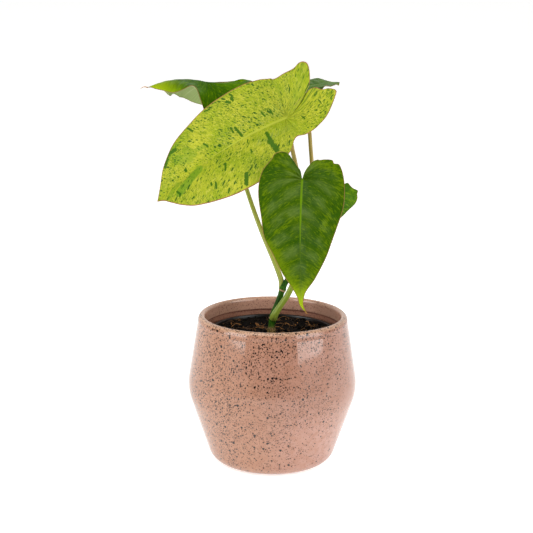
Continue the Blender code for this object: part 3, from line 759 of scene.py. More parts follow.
crumb_rng = np.random.default_rng(11)
crumb_x, crumb_y = spots_on_soil(CRUMB_COUNT, crumb_rng)
crumb_size = 0.0004 + 0.0016 * crumb_rng.random(CRUMB_COUNT) ** 3
crumb_centres = np.stack([crumb_x, crumb_y, soil_height(crumb_x, crumb_y) + 0.2 * crumb_size], 1)
lumps("soil_crumbs", crumb_centres, crumb_size, crumb_rng.uniform(0.4, 1, CRUMB_COUNT),
      peat, crumb_rng)

# %% [markdown]
# ## Tubes along a path
# Stems, stalks and fibres are all a ring of points carried along a line. To stop the
# ring from spinning, its first side direction is handed on from ring to ring and only
# made square to the path again. The function works on any number of paths at once, so
# that a hundred fibres take one call.

# %% Tubes
def ring_frames(paths):
    """The direction of travel and two directions square to it at each point of the
    paths, an array of paths by points by three. The first side direction is carried
    from point to point and made square to the path again."""
    along = np.gradient(paths, axis=1)
    along /= np.linalg.norm(along, axis=2, keepdims=True)
    side = np.empty_like(along)
    start = np.where(np.abs(along[:, 0, :1]) < 0.9, [[1.0, 0, 0]], [[0, 1.0, 0]])
    for i in range(paths.shape[1]):
        start = start - along[:, i] * (start * along[:, i]).sum(1, keepdims=True)
        start /= np.linalg.norm(start, axis=1, keepdims=True)
        side[:, i] = start
    return along, side, np.cross(along, side)


def tubes(paths, radii, sides):
    """Points and squares of closed tubes. Radii has one number for each point of each
    path, or one for each point of each ring. The ends close on the path itself."""
    _, side, other = ring_frames(paths)
    angle = np.arange(sides) * 2 * math.pi / sides
    radii = radii if radii.ndim == 3 else np.repeat(radii[..., None], sides, 2)
    rings = (paths[:, :, None] + radii[..., None] * (
        side[:, :, None] * np.cos(angle)[:, None] + other[:, :, None] * np.sin(angle)[:, None]))
    ends = [np.repeat(paths[:, i, None, None], sides, 2) for i in (0, -1)]
    rings = np.concatenate([ends[0], rings, ends[1]], 1)
    count, rows = rings.shape[:2]
    one = grid_squares(rows, sides, around=True)
    squares = (one[None] + rows * sides * np.arange(count)[:, None, None]).reshape(-1, 4)
    return rings.reshape(-1, 3), squares


# %% [markdown]
# Coir fibres are the husk's straw-brown threads, and the chips are bits of bark and
# husk. The most visible ones are listed one by one and the rest placed at random: a fibre
# is a thin curved tube, and a chip a flat lump.

# %% Fibres and bark chips
FIBRE_COUNT = 170
FIBRE_POINTS = 12
# Millimetres: where a fibre starts (x, y), where it ends (x, y), and its radius.
NAMED_FIBRES = np.array([
    (-48, 24, -34, 43, 0.45), (-45, 33, -38, 36, 0.35), (13, 12, 22, 22, 0.30),
    (32, 46, 37, 18, 0.35), (17, 50, 21, 31, 0.30), (-40, 20, -29, 24, 0.30),
    (-20, 20, -8, 16, 0.28), (26, 20, 40, 26, 0.30), (-6, 44, 6, 48, 0.28),
    (42, 20, 38, 36, 0.25)]) * MM
CHIP_COUNT = 46
# Metres: where a chip lies (x, y), and its size.
NAMED_CHIPS = np.array([(-0.032, 0.0364, 0.0019), (-0.0144, 0.0317, 0.0024),
                        (-0.0165, 0.0365, 0.0017), (0.0215, 0.030, 0.0015)])


def coir_fibres(count, rng, material):
    """Curved threads on the soil: each starts at a place and turns steadily as it goes,
    rising and falling a little above the crumbs. The thickest are listed, from a start
    to an end, and the others placed at random."""
    x, y = spots_on_soil(count, rng, 0.93)
    run_x, run_y = NAMED_FIBRES[:, 2] - NAMED_FIBRES[:, 0], NAMED_FIBRES[:, 3] - NAMED_FIBRES[:, 1]
    x = np.concatenate([NAMED_FIBRES[:, 0], x])
    y = np.concatenate([NAMED_FIBRES[:, 1], y])
    length = np.concatenate([np.hypot(run_x, run_y), rng.uniform(0.003, 0.014, count)])
    bend = np.concatenate([rng.uniform(-70, 70, len(NAMED_FIBRES)), rng.normal(0, 110, count)])
    heading = np.concatenate([np.arctan2(run_y, run_x), rng.uniform(0, 2 * math.pi, count)])
    t = np.linspace(0, 1, FIBRE_POINTS)
    angle = heading[:, None] + bend[:, None] * length[:, None] * (t - 0.5)
    step = length[:, None] / (FIBRE_POINTS - 1)
    px = x[:, None] + np.cumsum(np.cos(angle) * step, 1)
    py = y[:, None] + np.cumsum(np.sin(angle) * step, 1)
    inwards = np.minimum(1, SOIL_RADIUS * 0.97 / np.hypot(px, py))
    px, py = px * inwards, py * inwards
    arch = rng.uniform(0.0002, 0.0024, len(x))[:, None] * np.sin(math.pi * t)
    paths = np.stack([px, py, soil_height(px, py) + 0.0003 + arch], -1)
    thick = np.concatenate([NAMED_FIBRES[:, 4], rng.uniform(0.00008, 0.00022, count)])
    radii = thick[:, None] * (1 - 0.5 * t)
    points, squares = tubes(paths, radii, 4)
    return make_piece("coir_fibres", points, squares, material)


def fibre_finish():
    """Coir, straw-brown to rust, its tone changing from one strand to the next."""
    fibre = Finish("coir_strands")
    tone = fibre.noise(fibre.place(), 75.0, 1.0)
    colour = fibre.mix(fibre.step(tone, 0.38, 0.64), paint("2E1A0C"), paint("A8723A"))
    fuzz = fibre.bump(fibre.noise(fibre.place(), 4000.0, 2.0), 0.00005)
    return fibre.set(Base_Color=colour, Roughness=0.8, Normal=fuzz)


def bark_finish():
    """Bark and husk chips, orange-tan with dark grooves."""
    bark = Finish("bark_chips")
    place = bark.place()
    groove = bark.noise(place, 900.0, 3.0, 0.6, stretch=(1.0, 0.25, 1.0))
    colour = bark.mix(bark.step(groove, 0.38, 0.6), paint("4A2A14"), paint("B5793A"))
    return bark.set(Base_Color=colour, Roughness=0.85, Normal=bark.bump(groove, 0.0003))


coir_fibres(FIBRE_COUNT, np.random.default_rng(5), fibre_finish())
chip_rng = np.random.default_rng(23)
chip_x, chip_y = spots_on_soil(CHIP_COUNT, chip_rng, 0.95)
chip_x = np.concatenate([NAMED_CHIPS[:, 0], chip_x])
chip_y = np.concatenate([NAMED_CHIPS[:, 1], chip_y])
chip_size = np.concatenate([NAMED_CHIPS[:, 2], 0.0006 + 0.0012 * chip_rng.random(CHIP_COUNT)])
chip_centres = np.stack([chip_x, chip_y, soil_height(chip_x, chip_y) + 0.3 * chip_size], 1)
lumps("bark_chips", chip_centres, chip_size, chip_rng.uniform(0.25, 0.5, len(chip_size)),
      bark_finish(), chip_rng)

# %% [markdown]
# ## The stem
# A young stem is a chain of short stretches between joints. It swells at each joint,
# where a leaf stalk clasps it and leaves a pale ring, and between the joints it is
# smooth and dark green. Its foot is corky and tan where the first leaves and roots were.
# The line and the radii are the plain model's, so the piece keeps its place.

# %% Stem
# Millimetres: the middle line's x, y and height, and the radius there.
STEM_LINE = [
    (-1.6, 2.0, 86, 3.4), (-1.6, 2.0, 112, 3.5), (-1.5, 2.0, 119.5, 3.5),
    (-1.3, 2.2, 124, 3.3), (-0.9, 2.6, 130, 3.1), (0.1, 3.4, 136, 3.5),
    (2.0, 4.4, 143, 2.9), (5.4, 5.2, 152, 2.7), (7.8, 6.2, 159.4, 2.8),
    (8.8, 6.6, 162, 3.3), (10.2, 7.4, 165.5, 2.6), (14.0, 8.6, 172, 2.4),
    (18.6, 10.2, 179.6, 2.9), (21.6, 11.6, 185.5, 2.3), (24.6, 13.0, 191.5, 2.8),
    (27.0, 14.2, 196.5, 2.2), (29.4, 15.4, 202, 1.8),
]
JOINT_HEIGHTS = np.array([0.1240, 0.1268, 0.1362, 0.1620, 0.1796, 0.1915])
RIDGE_DROP = 0.0012
RIDGE_WIDTH = 0.0005
CORK_TOP = 0.1270
CORK_FADE = 0.0009
SCAR_START = 0.1195
SCAR_SPACING = 0.0031
STEM_RINGS = 420
STEM_SIDES = 40


def stem_piece(material):
    """Rings along the stem's line. The radius grows by a narrow bell at each joint. The
    cork is a share that falls from 1 to 0 at its top, and there the radius is lumpy and
    swells between evenly spaced scars. Five faint ribs run up the whole stem."""
    dense = smooth_line(np.array(STEM_LINE) * MM, STEM_RINGS)
    path, radius = dense[:, :3], dense[:, 3]
    angle = np.arange(STEM_SIDES) * 2 * math.pi / STEM_SIDES
    height = path[:, 2:3]
    from_joint = (height - JOINT_HEIGHTS[None] + RIDGE_DROP) / RIDGE_WIDTH
    ridge = np.exp(-(from_joint**2)).sum(1, keepdims=True)
    foot = 1 / (1 + np.exp((height - CORK_TOP) / CORK_FADE))
    lumpy = value_noise(height + 0 * angle, 0.003 * angle + 0 * height, 0.0012, 8)
    scars = foot * np.abs(np.sin((height - SCAR_START) * math.pi / SCAR_SPACING))
    corky = foot * (0.00055 * lumpy - 0.0001) + 0.0006 * scars * (0.7 + 0.3 * lumpy)
    ribs = 0.00006 * np.cos(5 * angle + height * 90)
    radii = radius[:, None] + 0.00025 * ridge + corky + ribs
    points, squares = tubes(path[None], radii[None], STEM_SIDES)
    foot = np.pad(np.broadcast_to(foot, radii.shape), ((1, 1), (0, 0)), "edge")
    ring = np.pad(np.broadcast_to(ridge + scars**4, radii.shape), ((1, 1), (0, 0)), "edge")
    return make_piece("stem_jointed", points, squares, material,
                      {"foot": foot, "ring": ring}, ("stem",))


def stem_finish():
    """Dark green with lighter streaks, tan rings at the joints, and a corky foot."""
    stem = Finish("stem_skin_green")
    place = stem.place()
    streak = stem.noise(place, 320.0, 3.0, 0.6, stretch=(1.0, 1.0, 0.12))
    colour = stem.mix(stem.step(streak, 0.35, 0.7), paint("12300A"), paint("305A0C"))
    scar = stem.maths("MULTIPLY", stem.value("ring"), stem.step(streak, 0.3, 0.5, 0.55, 1.0))
    colour = stem.mix(scar, colour, paint("B08A6A"))
    crumbly = stem.step(stem.noise(place, 1100.0, 3.0), 0.40, 0.62)
    cork = stem.mix(crumbly, paint("26321A"), paint("86683F"))
    colour = stem.mix(stem.value("foot"), colour, cork)
    gloss = stem.maths("MULTIPLY_ADD", stem.value("foot"), 0.30, 0.34)
    grain = stem.bump(stem.noise(place, 1600.0, 3.0, stretch=(1.0, 1.0, 0.3)), 0.0001)
    return stem.set(Base_Color=colour, Roughness=gloss, Normal=grain, Specular_IOR_Level=0.05)


stem_piece(stem_finish())

# %% [markdown]
# ## The leaves' shape
# A philodendron leaf is a heart: two lobes behind the stalk and a long blade ahead of
# it that ends in a drip tip. Each half is drawn flat, as its edge's distance along and
# across from the midrib, and is bent in space afterwards. A leaf's numbers are few, so
# they stand together here: where its stalk meets it, how it is turned, how it is bent.

# %% The five leaves
# A plain half's edge, for a leaf without its own outline. Ahead of the stalk the first
# number is a share of the length, behind it of the lobe, and the second of the width.
HEART_HALF = [
    (-0.16, 0.03), (-0.53, 0.15), (-0.84, 0.35), (-1.0, 0.55), (-0.9, 0.75),
    (-0.42, 0.93), (0.05, 1.0), (0.2, 0.97), (0.35, 0.88), (0.5, 0.75), (0.63, 0.58),
    (0.76, 0.38), (0.87, 0.19), (0.94, 0.07),
]
# Base, length, lobe, half_width and outlines are in millimetres, and heading, pitch,
# roll, lobe_lift and rise in degrees. Droop, curl and tip_hook are bends for each metre.
# A wave is its height in millimetres, its turns a metre in radians, and its phase.
LARGE_LEAF = dict(
    base=(10.1, 8.0, 321.0), heading=180, pitch=-22.3, roll=-38.4, length=137,
    droop=1.4, droop_end=0, sweep=2.7, lobe_lift=44,
    left=dict(rise=0.5, curl=5.2, outline=[
        (-9, -10), (-22, -6), (-33.5, -4), (-43.5, 3), (-50.5, 14), (-58.5, 22),
        (-64.5, 31.5), (-60.5, 34.5), (-51.5, 36.5), (-41.5, 37.5), (-26, 34.5),
        (-12, 29.5), (-5, 25.5), (-1, 27), (3, 33.5), (8, 38.5), (24, 47.5),
        (41.5, 51.5), (54.5, 51.5), (69.5, 49.5), (87, 43.5), (103, 35.5), (115, 25),
        (124, 14), (130, 6)]),
    right=dict(rise=25, curl=3.8, outline=[
        (-6, 5), (-18, 5), (-33.5, 4), (-41.5, 6), (-48.5, 12), (-51.5, 18), (-49.5, 23),
        (-44.5, 27), (-35.5, 29.5), (-21, 36.5), (1, 42.5), (13, 46.5), (30.5, 48.5),
        (50.5, 47.5), (67.5, 45.5), (93, 38.5), (107, 32.5), (120, 22), (128, 11)]))
FRONT_LEAF = dict(
    base=(24.8, -33.0, 272.5), heading=-99, pitch=-72.6, roll=-2.2, length=118, tip_hook=60,
    droop=1.5, droop_end=0, sweep=0.7, lobe_lift=7,
    left=dict(rise=13, curl=6, outline=[
        (-5, 1.3), (-9.5, 3.4), (-13.5, 6.6), (-16.8, 9.8), (-18.3, 13.7), (-17.9, 15.4),
        (-18.6, 19.8), (-18.5, 25.8), (-17.4, 27.5), (-15.3, 28.5), (-15, 32.3), (-12.8, 34.2),
        (-8.6, 36), (-3, 37.5), (2.5, 38.4), (11, 39.1), (21.9, 38.7), (32.7, 36.1),
        (57, 28), (70, 23), (87, 14), (99, 5.4), (106, 2.7), (112, 1.9), (116.5, 1.0)]),
    right=dict(rise=14, curl=6, outline=[
        (-4, 1), (-8, 2), (-13, 6), (-17, 9), (-22, 13), (-24, 18), (-22, 25),
        (-17, 28), (-9, 34), (-2, 37), (8, 38.5), (19, 38), (36, 35), (53, 32),
        (68, 24), (84, 16), (96, 8), (105, 3.2), (111, 1.9), (116.5, 1.0)]))
BACK_LEFT_LEAF = dict(
    base=(-65.2, 74.5, 345.0), heading=-160, pitch=15, roll=1.8, length=59,
    droop=10.6, droop_end=11.9, sweep=0, lobe_lift=32,
    left=dict(rise=-9, curl=19.8, half_width=46.7, lobe=37.5, wave=(-17.5, 103, -4.2)),
    right=dict(rise=-13.7, curl=20, half_width=40.7, lobe=37.5, wave=(4.4, 103, 0.43)))
BACK_RIGHT_LEAF = dict(
    base=(24.4, 56.5, 341.3), heading=53, pitch=8.5, roll=1.3, length=61,
    droop=5.2, droop_end=4.6, sweep=0, lobe_lift=8,
    left=dict(rise=14, curl=12, half_width=33, lobe=30, wave=(2.2, 74, 1.7)),
    right=dict(rise=12, curl=6.6, half_width=28.5, lobe=30, wave=(5.2, 74, 1.55)))
SMALL_LEAF = dict(
    base=(50.4, 12.2, 252.6), heading=-72, pitch=-75.4, roll=-1.1, length=33,
    droop=3.1, droop_end=4, sweep=0, lobe_lift=17,
    left=dict(rise=11.6, curl=4.6, wave=(2.8, 91, 1.4), outline=[
        (-3, 3), (-6, 8), (-7.5, 12), (-7.4, 14.9), (-8.2, 16.6), (-7.5, 18.4), (-4.9, 20.3),
        (-2.3, 22.9), (-0.5, 26.2), (0.9, 26.7), (3.1, 25.9), (6.9, 25.9), (10.8, 24.4),
        (13.5, 22), (16, 18.9), (19.2, 15.2), (22.4, 11.7), (27, 6), (31, 2)]),
    right=dict(rise=8, curl=8, half_width=24, lobe=8.5, wave=(1.5, 91, 1.0)))
LOBE_LIFT_REACH = 0.010
HOOKED_TIP = 0.009
WAVE_REACH = 0.04
OUTLINE_POINTS = 1600
LEAVES = (LARGE_LEAF, FRONT_LEAF, BACK_LEFT_LEAF, BACK_RIGHT_LEAF, SMALL_LEAF)
print("lengths of the five blades, mm:", *(leaf["length"] for leaf in LEAVES))

# %% [markdown]
# A flat leaf is bent in three steps. First the midrib droops, and the lobes behind the
# stalk lift. Then each half leaves the midrib at its own rise and curls down on an arc,
# and last come slow waves towards the edge. Because the formula takes any point of the
# flat leaf, the coarse plain blade and the fine one are the same surface.

# %% Bending a flat leaf
def leaf_frame(leaf):
    """The midrib's direction, the left side's and the upper face's, as unit vectors."""
    heading, pitch, roll = (math.radians(leaf[k]) for k in ("heading", "pitch", "roll"))
    ahead = np.array([math.cos(heading) * math.cos(pitch),
                      math.sin(heading) * math.cos(pitch), math.sin(pitch)])
    level_left = np.array([-math.sin(heading), math.cos(heading), 0])
    square_up = np.cross(ahead, level_left)
    left = level_left * math.cos(roll) + square_up * math.sin(roll)
    return ahead, left, square_up * math.cos(roll) - level_left * math.sin(roll)


def midrib_bend(leaf, along):
    """How far forward and up the bent midrib is at each distance along it, and its
    slope: ahead of the stalk the slope falls by droop a metre, and behind it the lobes'
    slope grows to their lift. Forward and up are sums of the slope's cosine and sine."""
    grid = np.linspace(-0.1, 0.2, 601)
    lift = math.radians(leaf["lobe_lift"])
    slope = np.where(grid > 0, -leaf["droop"] * grid - leaf["droop_end"] * grid**2,
                     -lift * (1 - np.exp(np.minimum(grid, 0) / LOBE_LIFT_REACH)))
    step = grid[1] - grid[0]

    def travelled(rate):
        """The running sum of a rate along the grid, zero at the stalk."""
        total = np.concatenate([[0], np.cumsum((rate[1:] + rate[:-1]) / 2 * step)])
        return total - np.interp(0, grid, total)

    forward, up = travelled(np.cos(slope)), travelled(np.sin(slope))
    return tuple(np.interp(along, grid, values) for values in (forward, up, slope))


def bent(leaf, side, along, across):
    """Takes points of the flat half to their places: along the bent midrib, then out on
    an arc that starts at the half's rise and curls down, then the waves, which grow with
    the square of the distance from the midrib. Sweep moves everything sideways by half
    its size times the square of the distance along, and a tip's hook does it at the end."""
    sign = 1 if side == "left" else -1
    half = leaf[side]
    ahead, left, upper = leaf_frame(leaf)
    gone, risen, slope = midrib_bend(leaf, along)
    past = np.maximum(along - leaf["length"] * MM + HOOKED_TIP, 0)
    swept = leaf["sweep"] * along * np.abs(along) / 2 + leaf.get("tip_hook", 0) * past**2
    square = np.cos(slope)[..., None] * upper - np.sin(slope)[..., None] * ahead
    rise = math.radians(half["rise"])
    angle = rise - half["curl"] * across
    outward = (math.sin(rise) - np.sin(angle)) / half["curl"]
    height = (np.cos(angle) - math.cos(rise)) / half["curl"]
    amplitude, turns, phase = half.get("wave", (0, 0, 0))
    height = height + amplitude * MM * (across / WAVE_REACH) ** 2 * np.sin(turns * along + phase)
    return (np.array(leaf["base"]) * MM + gone[..., None] * ahead + risen[..., None] * upper
            + (sign * outward + swept)[..., None] * left + height[..., None] * square)


def half_outline(leaf, side):
    """A half's flat edge from the notch at the stalk, round the lobe, to the tip."""
    half = leaf[side]
    if "outline" in half:
        inner = list(half["outline"])
    else:
        inner = [(a * (leaf["length"] if a > 0 else half["lobe"]), b * half["half_width"])
                 for a, b in HEART_HALF]
    return smooth_line([(0, 0), *inner, (leaf["length"], 0)], OUTLINE_POINTS) * MM


for leaf in LEAVES:
    tip = bent(leaf, "left", np.array([leaf["length"] * MM]), np.array([0.0]))[0]
    print(f"a blade's tip is {tip[2] / MM:.0f} mm above the base")

# %% [markdown]
# ## Veins, thickness and the fine blade
# The main side veins leave the midrib and curve towards the tip, and behind the stalk
# they fan out into the lobes. Numbering them 0, 1, 2 and so on, with fractions between,
# gives one smooth vein count over the whole leaf: near a whole number lies a vein, and
# the blade bulges between. Each half is a grid whose rows run from the midrib to the
# edge, and whose last few columns crowd together where the edge is rounded.

# %% Rows and veins
EDGE_ROUNDING = 0.0004
VEIN_LEAN = 0.1
NO_LENGTH = 1e-9


def vein_count(along, across, spacing, lean, arch, fan):
    """The side veins' running number at points of the flat leaf. Ahead of the stalk it
    is the distance along the midrib where the vein through the point starts, over the
    spacing; a vein leans forward by lean for each unit out, and arch bends it further.
    In the lobes it is the angle past the first vein, over the fan's angle, below zero."""
    out = np.maximum(across, 1e-5)
    start = along - lean * out - arch * out**2
    first = np.arctan2(out, lean * out + arch * out**2)
    angle = np.arctan2(out, along) - first
    return np.where(start > 0, start / spacing, -angle / math.radians(fan))


def blade_rows(leaf, side, lobe_rows, ahead_rows):
    """Where each row starts on the midrib, and where it ends on the flat edge. The lobe's
    rows all start at the stalk, and the others ahead of it."""
    margin = half_outline(leaf, side)
    length = leaf["length"] * MM
    foot = (margin[:, 0] - VEIN_LEAN * length) / ((1 - VEIN_LEAN) * length)
    foot = np.maximum.accumulate(np.clip(foot, 0, 1) * length)
    lobe_end = int(np.flatnonzero(foot > 0)[0]) - 1
    feet = np.concatenate([np.zeros(lobe_rows), np.linspace(0, length, ahead_rows)])
    ahead = np.interp(feet[lobe_rows + 1:], foot[lobe_end:], np.arange(lobe_end, len(foot)))
    places = np.concatenate([np.linspace(0, lobe_end, lobe_rows + 1), ahead])
    numbers = np.arange(len(foot))
    return feet, np.stack([np.interp(places, numbers, margin[:, i]) for i in (0, 1)], 1)


def half_blade(leaf, side, style):
    """The flat half as arrays of rows by columns: each point's place along and across,
    its distance from the edge, how far the rounding reaches in its row, and its vein
    count. Columns are evenly spaced out to the rounding, and four more follow it."""
    feet, edge = blade_rows(leaf, side, style["lobe_rows"], style["ahead_rows"])
    reach = np.hypot(edge[:, 0] - feet, edge[:, 1])[:, None]
    rounding = np.minimum(EDGE_ROUNDING, 0.3 * reach)
    even = np.linspace(0, 1, style["columns"])[None] * (reach - rounding)
    curved = reach - rounding * np.array([0.7, 0.4, 0.15, 0.0])
    travelled = np.hstack([even, curved])
    share = travelled / np.maximum(reach, NO_LENGTH)
    along = feet[:, None] * (1 - share) + edge[:, :1] * share
    across = edge[:, 1:] * share
    from_edge = np.broadcast_to(reach, share.shape) - travelled
    count = vein_count(along, across, *style["veins"])
    return along, across, from_edge, rounding, count


def half_surface(leaf, side, along, across):
    """The bent half's points and its unit normals, from the slopes of two short steps."""
    middle = bent(leaf, side, along, across)
    step = 1e-5
    forward = bent(leaf, side, along + step, across) - middle
    outward = bent(leaf, side, along, across + step) - middle
    normal = np.cross(forward, outward) * (1 if side == "left" else -1)
    return middle, normal / np.linalg.norm(normal, axis=-1, keepdims=True)


print(f"the edge's rounding: {EDGE_ROUNDING / MM:.1f} mm")

# %% [markdown]
# The blade is two sheets, upper and lower, half a millimetre apart, that meet in a
# rounded edge. On top the midrib and veins are shallow grooves, and underneath they are
# ribs. So each half gives a middle surface, and both sheets are that surface moved along
# its normal by heights that are worked out on the flat leaf.

# %% Upper and lower sheet
LEAF_THICKNESS = 0.0005
FLAT_RIM = 0.012
RUFFLED_RIM = 0.014
RUFFLE_SIZE = 0.0075
RUFFLE_LANES = {"left": 5, "right": 9}
FLAT_BY_MIDRIB = 0.006
MIDRIB_AT_TIP = 0.0004
MIDRIB_GROWTH = 0.0009
MIDRIB_DEPTH = 0.00022
MIDRIB_HEIGHT = 0.0009
VEIN_HEIGHT = 0.00022
BLADE_MERGE = 4e-6


def bell(distance, width):
    """A smooth bump of height 1 at distance 0 that fades over width."""
    return np.exp(-((distance / width) ** 2))


def join_halves(left, right, seat_rows):
    """Gives both halves the same points along the midrib, halfway between the two, and a
    single point at the stalk, where the rows of the lobes all start."""
    shared = (left[:, 0] + right[:, 0]) / 2
    shared[:seat_rows] = shared[:seat_rows].mean(0)
    left[:, 0] = right[:, 0] = shared


def from_vein(count, along, across, spacing, fan):
    """The distance to the nearest side vein: the count's distance from a whole number,
    times the room between two veins, which in the lobes grows with the distance from
    the stalk. The count's own distance comes back too: 0 on a vein, a half between two."""
    near = np.abs(count - np.round(count))
    room = np.where(count > 0, spacing * 0.85, np.hypot(along, across) * math.radians(fan))
    return near * np.clip(room, 0.0005, None), near


def sheet_lifts(leaf, side, style, along, signed, from_edge, rounding, near, vein):
    """How far the upper sheet (1) and the lower one (0) lie off the middle surface. Both
    move by the bulges between the veins, a broad swell and the edge's ruffle. Half the
    thickness is added above, less the grooves, and taken away below, with the ribs.
    At the edge all of it but the ruffle is rounded off on a quarter circle. The two
    halves' ruffles are two lanes of the same noise."""
    inside_rim = np.clip(from_edge / FLAT_RIM, 0, 1)
    tip_fade = np.clip(1 - along / (leaf["length"] * MM), 0, 1)
    rib_width = MIDRIB_AT_TIP + MIDRIB_GROWTH * tip_fade
    ahead_only = np.clip(along / 0.002 + 0.6, 0, 1)
    off_midrib = np.clip(np.abs(signed) / FLAT_BY_MIDRIB, 0, 1)
    bulge = style["bulge"] * np.sin(math.pi * near) ** 2 * off_midrib * inside_rim
    swell = value_noise(along, signed, style["swell_size"], style["seed"])
    swell = style["swell"] * swell * inside_rim * off_midrib
    lane = np.full(along.shape, RUFFLE_LANES[side])
    ruffle = value_noise(along, lane, RUFFLE_SIZE, style["seed"] + 3)
    near_rim = np.clip(1 - from_edge / RUFFLED_RIM, 0, 1) ** 2
    ruffle = style["ruffle"] * ruffle * near_rim * off_midrib
    groove = (MIDRIB_DEPTH * bell(signed, rib_width) * ahead_only
              + style["groove"] * bell(vein, 0.0006) * inside_rim)
    half_round = np.sqrt(np.clip(1 - (signed / (1.5 * rib_width)) ** 2, 0, 1))
    ribs = (MIDRIB_HEIGHT * half_round * tip_fade**0.5 * ahead_only
            + VEIN_HEIGHT * bell(vein, 0.0005) * inside_rim)
    still_in = np.clip(from_edge / np.maximum(rounding, NO_LENGTH), 0, 1)
    round_off = np.sqrt(1 - (1 - still_in) ** 2)
    thin = LEAF_THICKNESS / 2 * round_off
    shift = (bulge + swell) * round_off + ruffle
    return {1: thin + shift - groove * round_off, 0: -(thin + ribs * round_off) + shift}


def leaf_blade(name, leaf, style, material, replaces, marks=None):
    """The whole fine blade: for each half an upper and a lower sheet, which are the
    middle surface moved along its normal. Their points fall together along the edge and
    the midrib, and merging makes one closed skin of them. What a finish needs at a point
    goes with it, such as its flat place and how far inside a mark it is."""
    marks = marks or {}
    stored = {key: [] for key in ("along", "across", "edge", "upper", "vein", "count", *marks)}
    sheets, faces, start = {}, [], 0
    spacing, _, _, fan = style["veins"]
    for side in ("left", "right"):
        along, across, from_edge, rounding, count = half_blade(leaf, side, style)
        middle, normal = half_surface(leaf, side, along, across)
        signed = across * (1 if side == "left" else -1)
        vein, near = from_vein(count, along, across, spacing, fan)
        lifts = sheet_lifts(leaf, side, style, along, signed, from_edge, rounding, near, vein)
        fields = [streak_field(listed, along, signed) for listed in marks.values()]
        for upper, lift in lifts.items():
            sheets[side, upper] = middle + lift[..., None] * normal
            numbers = (along, signed, from_edge, np.full(along.shape, upper), vein, count, *fields)
            for kept, values in zip(stored.values(), numbers):
                kept.append(values.ravel())
            faces.append(grid_squares(*along.shape, start=start,
                                      flip=(side == "left") == bool(upper)))
            start += along.size
    for upper in (1, 0):
        join_halves(sheets["left", upper], sheets["right", upper], style["lobe_rows"] + 1)
    points = np.vstack([sheet.reshape(-1, 3) for sheet in sheets.values()])
    attributes = {key: np.concatenate(values) for key, values in stored.items()}
    return make_piece(name, points, np.vstack(faces), material, attributes, replaces,
                      merge=BLADE_MERGE)


def streak_field(marks, along, across):
    """How far inside the nearest streak a point is: 1 on its middle line, 0 on its edge,
    below 0 outside. A streak is a line between two places, as wide as it says, with
    round ends: the share is 1 less the distance to the line over half the width."""
    best = np.full(along.shape, -4.0)
    for x1, y1, x2, y2, width in np.array(marks) * MM:
        run = math.hypot(x2 - x1, y2 - y1) + NO_LENGTH
        u = ((along - x1) * (x2 - x1) + (across - y1) * (y2 - y1)) / run
        v = ((along - x1) * (y2 - y1) - (across - y1) * (x2 - x1)) / run
        past = np.maximum(np.maximum(-u, u - run), 0)
        best = np.maximum(best, 1 - np.hypot(v, past) / (width / 2))
    return best


print(f"a blade's thickness: {LEAF_THICKNESS / MM:.1f} mm")

# %% [markdown]
# ## The large leaf's finish
# This leaf is variegated: lime and butter yellow, peppered with green, with a few dark
# green streaks that follow the veins, a greener zone towards the tip, and a thin
# reddish edge. The largest streaks are listed by where they lie on the flat leaf, in
# millimetres along the midrib and across it. The pepper is a Voronoi pattern on the
# flat leaf's own coordinates, so it bends with the leaf.

# %% Variegated finish
# Each mark: where it starts (along, across), where it ends (along, across), its width.
LARGE_MARKS = {
    "streak": [
        (21, 7, 18, 27, 3.4), (20, 18, 17, 30, 6.0), (46, -13, 43, -3, 2.6),
        (50, -15, 49, -9, 1.9), (50, 38, 53, 47, 4.4), (65, 16, 67, 23, 2.2),
        (113, -30, 104, -28, 4.2), (118, -21, 113, -27, 3.4), (86, -38, 83, -33, 2.2),
        (66, -43, 62, -42, 2.2), (45, -40, 42, -37, 2.6), (40, -41, 39, -38, 2.8),
        (40, -45, 38, -42, 2.0), (69, 42, 71, 45, 2.2), (79, 28, 80, 33, 2.0),
        (83, 26, 83, 29, 1.8), (102, -6, 102, -4, 2.6), (116, 8, 114, 13, 2.0),
        (19, -15, 17, -9, 1.7), (11, -14, 10, -8, 1.7), (39, 4, 40, 7, 1.6),
        (39, 17, 39, 20, 1.7), (78, -16, 75, -11, 1.7), (-41, 16, -43, 23, 1.5),
        (-16, 11, -18, 16, 1.6)],
    "moon": [(113, 11, 91, 4, 10), (105, 9, 98, 6, 10)],
    "green": [(110, -33, 101, -31, 5), (116, -24, 108, -27, 5), (96, -22, 89, -12, 7),
              (105, -18, 94, -12, 11), (86, -15, 77, -13, 5), (124, 6, 114, 2, 7)],
    "hatch": [(4, -9, 62, -9, 17), (2, 12, 30, 14, 10)],
}


def leaf_place(finish):
    """A point of the flat leaf as a vector, for patterns that follow the blade."""
    return finish.add("ShaderNodeCombineXYZ", X=finish.value("along"), Y=finish.value("across"))


def vein_place(finish, spacing):
    """A point as its place from vein to vein and its distance out, so that a pattern
    squeezed in the second direction runs along the side veins."""
    from_stalk = finish.maths("MULTIPLY", finish.value("count"), spacing)
    return finish.add("ShaderNodeCombineXYZ", X=from_stalk, Y=finish.value("across"))


def leaf_bump(finish, at, pores):
    """Fine relief: parallel small veins between the main ones, and tiny pores."""
    small_veins = finish.maths("SINE", finish.maths("MULTIPLY_ADD", finish.value("count"), 75.0,
                                                    finish.noise(at, 160.0, 2.0)))
    relief = finish.bump(finish.maths("MULTIPLY_ADD", small_veins, 0.5, 0.5), 0.00003)
    return finish.bump(finish.noise(at, pores, 3.0, 0.6), 0.00010, relief)


def edge_line(finish, colour, line, width):
    """Draws a thin line of another colour along the leaf's edge."""
    return finish.mix(finish.step(finish.value("edge"), width, width * 0.4), colour, line)


